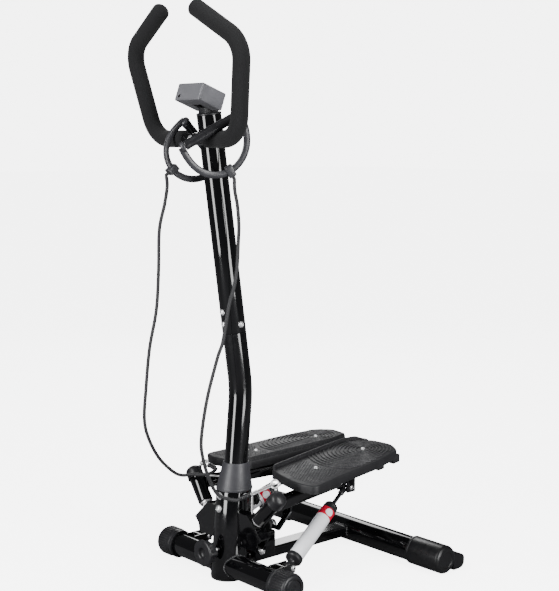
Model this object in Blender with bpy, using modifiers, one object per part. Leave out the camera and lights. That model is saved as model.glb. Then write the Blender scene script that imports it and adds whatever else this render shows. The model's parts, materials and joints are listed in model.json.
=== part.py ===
"""Twist stepper: post with handlebar and monitor, two angled pedals on dampers, two stretch bands.

Metres, +Z up, +X to the right-hand pedal, +Y from the post towards the pedals.
The origin is on the floor, in the middle of the plug that closes the foot of the base tube.
"""
import math

import bpy
import bmesh
from mathutils import Matrix, Vector

GAP = 0.0003                    # clearance between pieces that touch
SLIVER = 0.00002                # shorter edges than this are merged away
ROUND = 20                      # sides of a large round piece

# Front and rear stabilizers
FRONT_Z = 0.0305                # height of the front tube's axis
FRONT_R = 0.0255
FRONT_CAP_R = 0.0310
FRONT_CAP_IN = 0.163
FRONT_CAP_OUT = 0.215
REAR_Y = 0.3695
REAR_Z = 0.0310
REAR_R = 0.0275
REAR_CAP_R = 0.0315
REAR_CAP_IN = 0.205
REAR_CAP_OUT = 0.300
CAP_END = 0.006                 # thickness of a cap's closed end
TUBE_WALL = 0.0022

# Base tube, post and its bush
BASE_R = 0.0380
BASE_WALL = 0.0030
BASE_FOOT = 0.0034              # height of the tube's lower rim
BASE_TOP = 0.1927
BASE_SHEAR = 0.09               # rearward lean, metres per metre of height
BASE_Y = 0.003                  # where the leaning axis meets the floor
POST_R = 0.0250
POST_WALL = 0.0025
POST_FOOT = 0.125
POST_LEAN = 0.145               # forward lean above the bend
POST_BEND_Z = 0.4077
POST_SEAM_Z = 0.5325
POST_TOP_Z = 0.980
SPIGOT_R = 0.0222
SPIGOT_LENGTH = 0.065
COLLAR_TOP = 0.252
BASE_BOLT_R = 0.0040
CLAMP_REACH = 0.0120            # the clamp bolts stop just short of the post
BASE_SIDE_Z = 0.1835
BASE_BOLTS = (("base_bolt_upper", 0.1830, 0.0085), ("base_bolt_lower", 0.1550, 0.0085))    # height, head
POST_BOLT_R = 0.0032
POST_BOLT_LENGTH = 0.0110
POST_SIDE_Z = 0.5500
POST_BOLTS = (("post_bolt_upper", 0.5790, 0.0070), ("post_bolt_lower", 0.5530, 0.0070))

# Frame rail between the base tube and the rear stabilizer
RAIL_HALF_WIDTH = 0.0205
RAIL_LOW = 0.022
RAIL_HIGH = 0.046
RAIL_FRONT = 0.0450
RAIL_REAR = 0.3415

# Tilted pedal pivots (right-hand side; the left one is its mirror image)
PIVOT = Vector((0.120, 0.018, 0.176))
PIVOT_DIR = Vector((0.677, 0.090, 0.730)).normalized()
SLEEVE_R = 0.0163
SLEEVE_LOW = -0.0440            # along the pivot line, from PIVOT
SLEEVE_HIGH = 0.0330
SLEEVE_BORE = 0.0092
PIN_R = 0.0060
SLEEVE_CAP_R = 0.0185
CAP_SIDES = 24
SLEEVE_CAP_LENGTH = 0.0290
CAP_OVERLAP = 0.0170             # how far a cap reaches down over its sleeve
CAP_FOOT = SLEEVE_HIGH - CAP_OVERLAP

# Pedals
PEDAL_SCREW = Vector((0.100, 0.166, 0.232))     # front screw, on the tread
PEDAL_REARWARD = Vector((-0.132, 0.989, 0.066)).normalized()
PEDAL_ROLL = math.radians(2.5)
PEDAL_DEPTH = 0.019
PEDAL_SKIN = 0.0045
PEDAL_RIM = 0.009
PEDAL_SCREW_PITCH = 0.167
ARM_FRONT = Vector((0.1190, 0.0300, 0.1800))
ARM_REAR = Vector((0.0800, 0.2630, 0.1860))
ARM_HALF = 0.0125
LUG_SPREAD = 0.0155             # from the middle of the damper's eye to each lug

# Cable drive and the knob that sets its tension
KNOB_Z = 0.0665
KNOB_FACE_Y = -0.0680
KNOB_SCREW_R = 0.0040
KNOB_SCREW_END = 0.0700
CARRIAGE_Y = 0.0635
PULLEY = Vector((0.0, 0.0755, 0.1600))
PULLEY_R = 0.0120
CABLE_R = 0.0010
CABLE_END = Vector((0.0700, 0.0755, 0.1180))
CABLE_LUG = ((0.100, 0.174), (0.122, 0.174), (0.122, 0.158), (0.084, 0.108), (0.064, 0.108), (0.064, 0.1168),
             (0.077, 0.1168), (0.100, 0.147))

# Dampers
DAMPER_LOW = Vector((0.1406, 0.0513, 0.0485))
DAMPER_HIGH = Vector((0.0800, 0.2770, 0.1670))
BARREL_R = 0.0165
ROD_R = 0.0045
EYE_R = 0.0100
EYE_NECK_R = 0.0060
DAMPER_PIN_R = 0.0036

# Handlebar and foam
BAR_R = 0.0125
BAR_WALL = 0.0016
BAR_Y = -0.0765
BAR_Z = 0.931
FOAM_R = 0.0173
FOAM_START = 0.036
FOAM_BORE_R = (BAR_R + GAP) / math.cos(math.pi / 10)     # clears the corners of a ten-sided bar
BAR_CORNERS = ((0.134, BAR_Y, BAR_Z), (0.177, -0.103, 1.109), (0.059, -0.118, 1.178))
BAR_BENDS = (0.055, 0.050)

# Monitor
MONITOR_CENTRE = Vector((0.0, -0.0650, 1.0135))
MONITOR_SIZE = Vector((0.080, 0.062, 0.036))
MONITOR_TILT = math.radians(-20.0)
JACK_X = -0.0260                # sensor jack, in the housing's own directions
JACK_Z = -0.0095

# Stretch bands
CORD_R = 0.0029
HANDLE_HALF = 0.062             # half the length of a D-handle's grip
HANDLE_GRIP_R = 0.0088
HANDLE_WIRE_R = 0.0042
EYE_ALONG = 0.0460              # the eye's place on a sleeve cap: along the pivot line, and out from it
EYE_OFFSET = 0.0290
EYE_RING_R = 0.0085
EYE_WIRE_R = 0.0020
CRIMP_LENGTH = 0.024
HOOK_HALF_WIDTH = 0.0060
HOOK_WIRE_R = 0.0018
CLOCKS = {1: 0.0, -1: math.radians(60.0)}       # by side: 1 is right, -1 is left
CRIMPS = {1: (0.0850, -0.0330, 0.1980), -1: (-0.0900, 0.0380, 0.2160)}
HANDLES = {                     # both ends of a grip's middle line, then the joint with the cord
    1: ((0.0450, -0.1450, 0.9140), (0.1066, -0.0514, 0.9797), (0.0750, -0.0490, 0.8690)),
    -1: ((-0.0500, -0.0690, 0.9680), (-0.0500, 0.0240, 0.8750), (-0.0500, -0.0980, 0.8700)),
}
ROUTES = {
    1: ((0.074, -0.037, 0.830), (0.070, -0.027, 0.800), (0.066, -0.020, 0.760), (0.062, -0.018, 0.730),
        (0.060, -0.020, 0.674), (0.059, -0.027, 0.636), (0.058, -0.040, 0.597), (0.057, -0.055, 0.526),
        (0.057, -0.069, 0.494), (0.056, -0.095, 0.414), (0.055, -0.110, 0.333), (0.055, -0.106, 0.290),
        (0.055, -0.091, 0.246), (0.057, -0.073, 0.212), (0.066, -0.055, 0.199)),
    -1: ((-0.058, -0.106, 0.836), (-0.070, -0.104, 0.800), (-0.084, -0.108, 0.746), (-0.094, -0.104, 0.663),
         (-0.102, -0.105, 0.579), (-0.110, -0.118, 0.497), (-0.115, -0.125, 0.411), (-0.118, -0.128, 0.346),
         (-0.122, -0.115, 0.301), (-0.130, -0.082, 0.250), (-0.136, -0.040, 0.211), (-0.132, -0.018, 0.200),
         (-0.118, -0.004, 0.203), (-0.100, 0.006, 0.204), (-0.085, 0.018, 0.207), (-0.080, 0.031, 0.213)),
}

BLACK_PAINT = ("black_paint", (0.012, 0.012, 0.014), 0.18, 0.4)
GREY_PLASTIC = ("grey_plastic", (0.060, 0.060, 0.066), 0.42, 0.0)
CAP_PLASTIC = ("cap_plastic", (0.030, 0.030, 0.033), 0.50, 0.0)
TREAD_PLASTIC = ("tread_plastic", (0.030, 0.030, 0.032), 0.55, 0.0)
FOAM = ("foam", (0.022, 0.022, 0.023), 0.92, 0.0)
RUBBER = ("rubber", (0.018, 0.018, 0.019), 0.80, 0.0)
CHROME = ("chrome", (0.80, 0.80, 0.80), 0.12, 1.0)
ZINC = ("zinc", (0.62, 0.62, 0.62), 0.30, 1.0)
WHITE_PAINT = ("white_paint", (0.72, 0.73, 0.75), 0.30, 0.0)
SILVER_PLASTIC = ("silver_plastic", (0.42, 0.42, 0.45), 0.35, 0.2)
SCREEN = ("screen", (0.10, 0.12, 0.11), 0.10, 0.0)
GRIP_PLASTIC = ("grip_plastic", (0.014, 0.014, 0.016), 0.15, 0.0)
STRAP_PLASTIC = ("strap_plastic", (0.085, 0.085, 0.090), 0.45, 0.0)
BRASS = ("brass", (0.60, 0.44, 0.18), 0.35, 1.0)


# ---------------------------------------------------------------- scene and objects

def clear_scene():
    for obj in list(bpy.data.objects):
        bpy.data.objects.remove(obj, do_unlink=True)


def new_collection(name):
    group = bpy.data.collections.new(name)
    bpy.context.scene.collection.children.link(group)
    return group


def material(look):
    name, colour, roughness, metallic = look
    found = bpy.data.materials.get(name)
    if found:
        return found
    mat = bpy.data.materials.new(name)
    mat.use_nodes = True
    shader = mat.node_tree.nodes["Principled BSDF"]
    shader.inputs["Base Color"].default_value = (*colour, 1.0)
    shader.inputs["Roughness"].default_value = roughness
    shader.inputs["Metallic"].default_value = metallic
    return mat


def place(obj, group):
    """Link an object to one collection only."""
    for owner in list(obj.users_collection):
        owner.objects.unlink(obj)
    group.objects.link(obj)
    return obj


def as_cutter(obj):
    place(obj, CUTTERS)
    obj.hide_render = True
    obj.display_type = 'WIRE'
    return obj


def mesh_object(name, bm):
    mesh = bpy.data.meshes.new(name)
    bm.to_mesh(mesh)
    bm.free()
    obj = bpy.data.objects.new(name, mesh)
    PARTS.objects.link(obj)
    return obj


def shade(obj, angle=35.0):
    obj.data.shade_smooth()
    obj.data.set_sharp_from_angle(angle=math.radians(angle))
    return obj


def settle(obj):
    """Bake the Booleans and clear the slivers that they leave."""
    bpy.context.view_layer.update()
    graph = bpy.context.evaluated_depsgraph_get()
    mesh = bpy.data.meshes.new_from_object(obj.evaluated_get(graph))
    bm = bmesh.new()
    bm.from_mesh(mesh)
    bmesh.ops.remove_doubles(bm, verts=bm.verts, dist=SLIVER)
    bmesh.ops.dissolve_degenerate(bm, edges=bm.edges, dist=SLIVER)
    bmesh.ops.dissolve_limit(bm, angle_limit=math.radians(0.2), verts=bm.verts, edges=bm.edges)
    bmesh.ops.triangulate(bm, faces=[face for face in bm.faces if len(face.verts) > 4])
    bm.to_mesh(mesh)
    bm.free()
    obj.modifiers.clear()
    obj.data = mesh


def finish(obj, look, owner=None):
    """Give a piece its material, smooth its round faces and parent it to its joint."""
    if obj.modifiers:
        settle(obj)
    obj.data.materials.clear()
    obj.data.materials.append(material(look))
    shade(obj)
    if owner:
        obj.parent = owner
        obj.matrix_parent_inverse = owner.matrix_world.inverted()
    return obj


def boolean(obj, operand, operation):
    modifier = obj.modifiers.new(operand.name, 'BOOLEAN')
    modifier.operation = operation
    modifier.solver = 'EXACT'
    modifier.object = as_cutter(operand)
    return obj


def cut(obj, *operands):
    for operand in operands:
        boolean(obj, operand, 'DIFFERENCE')
    return obj


def join(obj, *operands):
    for operand in operands:
        boolean(obj, operand, 'UNION')
    return obj


def joint_empty(name, location):
    empty = bpy.data.objects.new(name, None)
    empty.location = location
    empty.empty_display_size = 0.02
    PARTS.objects.link(empty)
    bpy.context.view_layer.update()
    return empty


# ---------------------------------------------------------------- shapes

def frame_along(direction):
    """Rotation that turns +Z to the given direction."""
    return Vector(direction).to_track_quat('Z', 'Y').to_matrix().to_4x4()


def cone(name, start, end, radius, end_radius=None, sides=ROUND):
    """Closed cylinder or cone between two points."""
    start, end = Vector(start), Vector(end)
    length = (end - start).length
    bm = bmesh.new()
    bmesh.ops.create_cone(bm, cap_ends=True, segments=sides, radius1=radius,
                          radius2=radius if end_radius is None else end_radius, depth=length)
    obj = mesh_object(name, bm)
    obj.data.transform(Matrix.Translation((start + end) / 2) @ frame_along(end - start))
    return obj


def box(name, size, centre, rotation=None):
    bm = bmesh.new()
    bmesh.ops.create_cube(bm, size=1.0)
    obj = mesh_object(name, bm)
    turn = rotation if rotation else Matrix.Identity(4)
    obj.data.transform(Matrix.Translation(centre) @ turn @ Matrix.Diagonal((*size, 1.0)))
    return obj


def bevel(obj, width, segments=2, angle=40.0):
    modifier = obj.modifiers.new("Edges", 'BEVEL')
    modifier.width = width
    modifier.segments = segments
    modifier.limit_method = 'ANGLE'
    modifier.angle_limit = math.radians(angle)
    return obj


def to_mesh(obj, name):
    """Turn a curve or a turned profile into a closed mesh object."""
    bpy.context.view_layer.update()
    graph = bpy.context.evaluated_depsgraph_get()
    mesh = bpy.data.meshes.new_from_object(obj.evaluated_get(graph))
    bm = bmesh.new()
    bm.from_mesh(mesh)
    bmesh.ops.remove_doubles(bm, verts=bm.verts, dist=1e-6)
    bm.to_mesh(mesh)
    bm.free()
    where = obj.matrix_world.copy()
    bpy.data.objects.remove(obj, do_unlink=True)
    solid = bpy.data.objects.new(name, mesh)
    solid.matrix_world = where
    PARTS.objects.link(solid)
    return solid


def turned(name, profile, origin, direction, sides=ROUND):
    """Solid turned about a line; the profile is (radius, height) from top to bottom."""
    mesh = bpy.data.meshes.new(name)
    points = [(radius, 0.0, height) for radius, height in profile]
    edges = [(i, i + 1) for i in range(len(points) - 1)]
    mesh.from_pydata(points, edges, [])
    obj = bpy.data.objects.new(name, mesh)
    PARTS.objects.link(obj)
    screw = obj.modifiers.new("Turn", 'SCREW')
    screw.steps = sides
    screw.render_steps = sides
    screw.use_merge_vertices = True
    screw.merge_threshold = 0.00005
    solid = to_mesh(obj, name)
    solid.data.transform(Matrix.Translation(origin) @ frame_along(direction))
    return solid


def tube(name, points, radius, resolution=3, cyclic=False):
    """Round bar along a line of points."""
    curve = bpy.data.curves.new(name, 'CURVE')
    curve.dimensions = '3D'
    curve.bevel_depth = radius
    curve.bevel_resolution = resolution
    curve.use_fill_caps = not cyclic
    spline = curve.splines.new('POLY')
    spline.points.add(len(points) - 1)
    for point, where in zip(spline.points, points):
        point.co = (*where, 1.0)
    spline.use_cyclic_u = cyclic
    obj = bpy.data.objects.new(name, curve)
    PARTS.objects.link(obj)
    return to_mesh(obj, name)


def plate(name, outline, thickness, matrix):
    """Flat sheet from a closed outline in its own XY plane, set in place by a matrix."""
    curve = bpy.data.curves.new(name, 'CURVE')
    curve.dimensions = '2D'
    curve.fill_mode = 'BOTH'
    curve.extrude = thickness / 2
    spline = curve.splines.new('POLY')
    spline.points.add(len(outline) - 1)
    for point, where in zip(spline.points, outline):
        point.co = (*where, 0.0, 1.0)
    spline.use_cyclic_u = True
    obj = bpy.data.objects.new(name, curve)
    PARTS.objects.link(obj)
    solid = to_mesh(obj, name)
    solid.data.transform(matrix)
    return solid


def rounded_path(corners, radii, steps=4):
    """Open line through the corners, each inner corner replaced by an arc."""
    corners = [Vector(corner) for corner in corners]
    path = [corners[0]]
    for i in range(1, len(corners) - 1):
        before = (corners[i - 1] - corners[i]).normalized()
        after = (corners[i + 1] - corners[i]).normalized()
        half_turn = (math.pi - before.angle(after)) / 2
        setback = radii[i - 1] * math.tan(half_turn)
        middle = (before + after).normalized()
        centre = corners[i] + middle * (radii[i - 1] / math.cos(half_turn))
        start = corners[i] + before * setback - centre
        end = corners[i] + after * setback - centre
        for k in range(steps + 1):
            angle = 2 * half_turn * k / steps
            across = (end - start * math.cos(2 * half_turn)) / math.sin(2 * half_turn)
            path.append(centre + start * math.cos(angle) + across * math.sin(angle))
    path.append(corners[-1])
    return path


def smooth_route(points, spacing):
    """Catmull-Rom curve through the points, read off at even steps."""
    points = [Vector(point) for point in points]
    ends = [2 * points[0] - points[1]] + points + [2 * points[-1] - points[-2]]
    dense = []
    for i in range(1, len(ends) - 2):
        p0, p1, p2, p3 = ends[i - 1:i + 3]
        for k in range(24):
            t = k / 24
            dense.append(0.5 * (2 * p1 + (p2 - p0) * t + (2 * p0 - 5 * p1 + 4 * p2 - p3) * t * t
                                + (3 * p1 - 3 * p2 + p3 - p0) * t ** 3))
    dense.append(points[-1])
    lengths = [0.0]
    for a, b in zip(dense, dense[1:]):
        lengths.append(lengths[-1] + (b - a).length)
    count = max(2, round(lengths[-1] / spacing))
    route = []
    index = 0
    for k in range(count + 1):
        target = lengths[-1] * k / count
        while index < len(dense) - 2 and lengths[index + 1] < target:
            index += 1
        step = lengths[index + 1] - lengths[index]
        share = (target - lengths[index]) / step if step else 0.0
        route.append(dense[index].lerp(dense[index + 1], min(1.0, share)))
    return route


def mirrored(point, side):
    """Right-hand point, or its mirror image for the left-hand side."""
    return Vector((point[0] * side, point[1], point[2]))


def post_axis(height):
    """Centre line of the post: leans back in the base, forward above the bend."""
    if height <= POST_BEND_Z:
        return Vector((0.0, BASE_Y + BASE_SHEAR * height, height))
    bend_y = BASE_Y + BASE_SHEAR * POST_BEND_Z
    return Vector((0.0, bend_y - POST_LEAN * (height - POST_BEND_Z), height))


POST_UP = (post_axis(POST_TOP_Z) - post_axis(POST_SEAM_Z)).normalized()
POST_REARWARD = Vector((0, POST_UP.z, -POST_UP.y))      # square to the upper post


def leaning_cylinder(name, low, high, radius, top_radius=None):
    """Upright cylinder whose axis leans with the base tube; its end faces stay level."""
    obj = cone(name, (0, 0, low), (0, 0, high), radius, top_radius)
    shear = Matrix(((1, 0, 0, 0), (0, 1, BASE_SHEAR, BASE_Y), (0, 0, 1, 0), (0, 0, 0, 1)))
    obj.data.transform(shear)
    return obj


def dome_bolt(name, seat, outward, head_r, shank_r, shank_length):
    """Domed bolt: the underside of the head is at the seat, the shank runs inwards."""
    outward = Vector(outward).normalized()
    profile = [(0.0, 0.55 * head_r), (0.60 * head_r, 0.42 * head_r), (head_r, 0.08 * head_r),
               (head_r, GAP), (shank_r, GAP), (shank_r, -shank_length), (0.0, -shank_length)]
    return turned(name, profile, seat, outward, 14)


# ---------------------------------------------------------------- base

def front_stabilizer():
    half = FRONT_CAP_OUT - CAP_END - GAP
    bar = cone("front_stabilizer", (-half, 0, FRONT_Z), (half, 0, FRONT_Z), FRONT_R, sides=ROUND)
    bore = cone("front_bore", (-half - 0.01, 0, FRONT_Z), (half + 0.01, 0, FRONT_Z),
                FRONT_R - TUBE_WALL, sides=ROUND)
    finish(cut(bar, bore), BLACK_PAINT)


def floor_cutter(name, centre_x, y):
    """Block below the floor that flattens the underside of a cap."""
    return box(name, (0.14, 0.10, 0.02), (centre_x, y, -0.01))


def front_cap(name, side):
    length = FRONT_CAP_OUT - FRONT_CAP_IN
    bore_r = FRONT_R + GAP
    depth = length - CAP_END
    fillet = 0.006
    profile = [(0.0, length - 0.0015), (0.019, length - 0.0015),
               (0.020, length), (FRONT_CAP_R - fillet, length),
               (FRONT_CAP_R - 0.3 * fillet, length - 0.3 * fillet),
               (FRONT_CAP_R, length - fillet), (FRONT_CAP_R, 0.0), (bore_r, 0.0),
               (bore_r, depth), (0.0, depth)]
    seat = Vector((side * FRONT_CAP_IN, 0, FRONT_Z))
    cap = turned(name, profile, seat, (side, 0, 0))
    finish(cut(cap, floor_cutter(name + "_floor", side * 0.19, 0.0)), CAP_PLASTIC)


def base_tube():
    shell = leaning_cylinder("base_tube", BASE_FOOT, BASE_TOP, BASE_R)
    bore = leaning_cylinder("base_bore", BASE_FOOT - 0.01, BASE_TOP + 0.01, BASE_R - BASE_WALL)
    crossing = cone("base_crossing", (-0.06, 0, FRONT_Z), (0.06, 0, FRONT_Z), FRONT_R + GAP, sides=ROUND)
    screw_way = cone("screw_way", (0, -0.06, KNOB_Z), (0, 0.08, KNOB_Z), KNOB_SCREW_R + 0.001, sides=20)
    cutters = [bore, crossing, screw_way]
    for name, height, _ in BASE_BOLTS:
        way = cone(name + "_way", (0, -0.06, height), (0, 0.0, height), BASE_BOLT_R + GAP, sides=16)
        cutters.append(way)
    side_way = cone("base_side_way", (0, post_axis(BASE_SIDE_Z).y, BASE_SIDE_Z),
                    (0.06, post_axis(BASE_SIDE_Z).y, BASE_SIDE_Z), BASE_BOLT_R + GAP, sides=16)
    cutters.append(side_way)
    finish(cut(shell, *cutters), BLACK_PAINT)


def base_plug():
    plug = cone("base_tube_plug", (0, BASE_Y, 0), (0, BASE_Y, BASE_FOOT - GAP), BASE_R - 0.001, sides=ROUND)
    finish(plug, CAP_PLASTIC)


def post_collar():
    cuff = leaning_cylinder("post_collar", BASE_TOP + GAP, COLLAR_TOP, BASE_R + 0.0010, POST_R + 0.0026)
    bore = leaning_cylinder("collar_bore", BASE_TOP - 0.01, COLLAR_TOP + 0.01, POST_R + 2 * GAP)
    finish(cut(cuff, bore), GREY_PLASTIC)


def socket_bush():
    low = POST_FOOT - 0.003
    bush = leaning_cylinder("post_socket_bush", low, BASE_TOP - 0.0005, BASE_R - BASE_WALL - GAP)
    bore = leaning_cylinder("bush_bore", low - 0.01, BASE_TOP + 0.01, POST_R + 2 * GAP)
    cutters = [bore]
    for name, height, _ in BASE_BOLTS:
        cutters.append(cone(name + "_bush_way", (0, -0.06, height), (0, 0, height),
                            BASE_BOLT_R + GAP, sides=16))
    y = post_axis(BASE_SIDE_Z).y
    cutters.append(cone("side_bush_way", (0, y, BASE_SIDE_Z), (0.06, y, BASE_SIDE_Z),
                        BASE_BOLT_R + GAP, sides=16))
    finish(cut(bush, *cutters), CAP_PLASTIC)


def frame_rail():
    length = RAIL_REAR - RAIL_FRONT
    height = RAIL_HIGH - RAIL_LOW
    centre = (0, (RAIL_REAR + RAIL_FRONT) / 2, (RAIL_HIGH + RAIL_LOW) / 2)
    rail = box("frame_rail", (2 * RAIL_HALF_WIDTH, length, height), centre)
    bevel(rail, 0.003)
    inner = box("rail_bore", (2 * (RAIL_HALF_WIDTH - TUBE_WALL), length + 0.02, height - 2 * TUBE_WALL),
                centre)
    finish(cut(rail, inner), BLACK_PAINT)


def rear_stabilizer():
    half = REAR_CAP_OUT - CAP_END - GAP
    bar = cone("rear_stabilizer", (-half, REAR_Y, REAR_Z), (half, REAR_Y, REAR_Z), REAR_R, sides=ROUND)
    bore = cone("rear_bore", (-half - 0.01, REAR_Y, REAR_Z), (half + 0.01, REAR_Y, REAR_Z),
                REAR_R - TUBE_WALL, sides=ROUND)
    finish(cut(bar, bore), BLACK_PAINT)


def rear_cap(name, side):
    length = REAR_CAP_OUT - REAR_CAP_IN
    fillet = 0.007
    profile = [(0.0, length), (REAR_CAP_R - fillet, length),
               (REAR_CAP_R - 0.3 * fillet, length - 0.3 * fillet), (REAR_CAP_R, length - fillet),
               (REAR_CAP_R, 0.0), (REAR_R + GAP, 0.0), (REAR_R + GAP, length - CAP_END),
               (0.0, length - CAP_END)]
    cap = turned(name, profile, (side * REAR_CAP_IN, REAR_Y, REAR_Z), (side, 0, 0))
    lobe_outline = [(REAR_Y + 0.0290, 0.0400), (0.4200, 0.0355), (0.4300, 0.0310), (0.4345, 0.0250),
                    (0.4340, 0.0130), (0.4300, 0.0060), (0.4200, 0.0), (REAR_Y + 0.0290, 0.0)]
    lobe_width = 0.030
    turn = Matrix(((0, 0, 1, side * (REAR_CAP_OUT - 0.004 - lobe_width / 2)),
                   (1, 0, 0, 0), (0, 1, 0, 0), (0, 0, 0, 1)))
    lobe = plate(name + "_lobe", lobe_outline, lobe_width, turn)
    join(cap, lobe)
    finish(cut(cap, floor_cutter(name + "_floor", side * 0.2525, REAR_Y)), CAP_PLASTIC)


def stop_bracket():
    wall = 0.003
    outer = 0.0340
    low, high = 0.0300, 0.0900
    front, rear = 0.0520, 0.1100
    size = (2 * outer, rear - front, high - low)
    bracket = box("stop_bracket", size, (0, (front + rear) / 2, (low + high) / 2))
    bevel(bracket, 0.004)
    hollow = box("bracket_hollow", (2 * (outer - wall), rear - front + 0.02, high - low),
                 (0, (front + rear) / 2, (low + high) / 2 - wall))
    window = box("carriage_window", (0.026, 0.040, 0.02), (0, front + 0.011, high))
    cut(bracket, hollow, window)
    for side in (-1, 1):
        head = cone(f"cross_bolt_{side}", (side * (outer - 0.002), 0.066, 0.052),
                    (side * (outer + 0.0045), 0.066, 0.052), 0.0085, 0.0060, sides=16)
        join(bracket, head)
    finish(bracket, BLACK_PAINT)


def stop_buffer(name, side):
    start = (side * 0.0230, 0.0930, 0.1012)
    end = (side * 0.0230, 0.1150, 0.1012)
    buffer = turned(name, [(0.0, 0.022), (0.009, 0.022), (0.011, 0.020), (0.011, 0.0), (0.0, 0.0)],
                    start, Vector(end) - Vector(start), 16)
    finish(buffer, RUBBER)


# ---------------------------------------------------------------- post

def post_lower():
    path = rounded_path([post_axis(POST_FOOT), post_axis(POST_BEND_Z), post_axis(POST_SEAM_Z)], [0.30])
    post = tube("post_lower", path, POST_R, 7)
    spigot = cone("post_spigot", post_axis(POST_SEAM_Z - 0.02), post_axis(POST_SEAM_Z + SPIGOT_LENGTH),
                  SPIGOT_R, sides=ROUND)
    inner = [post_axis(POST_FOOT) * 2 - path[1]] + path[1:-1] + [post_axis(POST_SEAM_Z + 0.09)]
    bore = tube("post_lower_bore", inner, SPIGOT_R - 0.0022, 7)
    join(post, spigot)
    finish(cut(post, bore, *joint_bolt_ways("lower")), BLACK_PAINT)


def post_upper():
    post = cone("post_upper", post_axis(POST_SEAM_Z + GAP), post_axis(POST_TOP_Z), POST_R, sides=ROUND)
    bore = cone("post_upper_bore", post_axis(POST_SEAM_Z - 0.01), post_axis(POST_TOP_Z + 0.01),
                POST_R - POST_WALL, sides=ROUND)
    height = BAR_Z
    bar_way = cone("bar_bolt_way", (0, -0.10, height), (0, post_axis(height).y, height), 0.0043, sides=16)
    finish(cut(post, bore, bar_way, *joint_bolt_ways("upper")), BLACK_PAINT)


def joint_bolt_ways(label):
    ways = []
    for name, height, _ in POST_BOLTS:
        centre = post_axis(height)
        ways.append(cone(f"{name}_{label}_way", centre, centre - POST_REARWARD * 0.05, POST_BOLT_R + GAP,
                         sides=16))
    centre = post_axis(POST_SIDE_Z)
    ways.append(cone(f"post_side_{label}_way", centre, centre + Vector((0.05, 0, 0)), POST_BOLT_R + GAP,
                     sides=16))
    return ways


def bolts():
    for name, height, head in BASE_BOLTS:
        seat = post_axis(height) - Vector((0, BASE_R, 0))
        lean = Vector((0, -1, BASE_SHEAR)).normalized()
        bolt = dome_bolt(name, seat + lean * 0.0004, (0, -1, 0), head, BASE_BOLT_R, CLAMP_REACH)
        finish(bolt, ZINC)
    seat = post_axis(BASE_SIDE_Z) + Vector((BASE_R + 0.0004, 0, 0))
    finish(dome_bolt("base_bolt_side", seat, (1, 0, 0), 0.0075, BASE_BOLT_R, CLAMP_REACH), ZINC)
    for name, height, head in POST_BOLTS:
        seat = post_axis(height) - POST_REARWARD * (POST_R + 0.0008)
        finish(dome_bolt(name, seat, -POST_REARWARD, head, POST_BOLT_R, POST_BOLT_LENGTH), ZINC)
    seat = post_axis(POST_SIDE_Z) + Vector((POST_R + 0.0008, 0, 0))
    finish(dome_bolt("post_bolt_side", seat, (1, 0, 0), 0.0070, POST_BOLT_R, POST_BOLT_LENGTH), ZINC)


# ---------------------------------------------------------------- handlebar and monitor

def bar_path(end_extension=0.0, start=None):
    """Right half of the handlebar's centre line, from the middle or from a given X."""
    first = Vector((start if start else 0.0, BAR_Y, BAR_Z))
    corners = [first] + [Vector(corner) for corner in BAR_CORNERS]
    end_direction = (corners[-1] - corners[-2]).normalized()
    corners[-1] = corners[-1] + end_direction * end_extension
    return rounded_path(corners, BAR_BENDS)


def whole_bar(extension):
    half = bar_path(extension)
    left = [mirrored(point, -1) for point in reversed(half[1:])]
    return left + half[1:]


def handlebar():
    bar = tube("handlebar_tube", whole_bar(0.0), BAR_R)
    bore = tube("handlebar_bore", whole_bar(0.01), BAR_R - BAR_WALL, 2)
    saddle = cone("bar_saddle", (0, BAR_Y + 0.006, BAR_Z), post_axis(BAR_Z), 0.0105, sides=24)
    post_face = cone("saddle_post", post_axis(BAR_Z - 0.05), post_axis(BAR_Z + 0.05),
                     POST_R + GAP, sides=ROUND)
    way = cone("handlebar_way", (0, -0.12, BAR_Z), (0, 0, BAR_Z), 0.0043, sides=16)
    join(bar, saddle)
    finish(cut(bar, bore, post_face, way), BLACK_PAINT)
    bolt = dome_bolt("handlebar_bolt", (0, BAR_Y - BAR_R - 0.0008, BAR_Z), (0, -1, 0), 0.0080, 0.0040, 0.034)
    finish(bolt, ZINC)


def foam_grip(name, side):
    outer = [mirrored(point, side) for point in bar_path(0.010, FOAM_START)]
    inner = [mirrored(point, side) for point in bar_path(0.0005, FOAM_START - 0.01)]
    grip = bevel(tube(name, outer, FOAM_R), 0.005, 2, 60.0)
    finish(cut(grip, tube(name + "_bore", inner, FOAM_BORE_R)), FOAM)


def monitor_turn():
    return Matrix.Rotation(MONITOR_TILT, 4, 'X')


def monitor_point(x, y, z):
    return MONITOR_CENTRE + monitor_turn() @ Vector((x, y, z))


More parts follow.
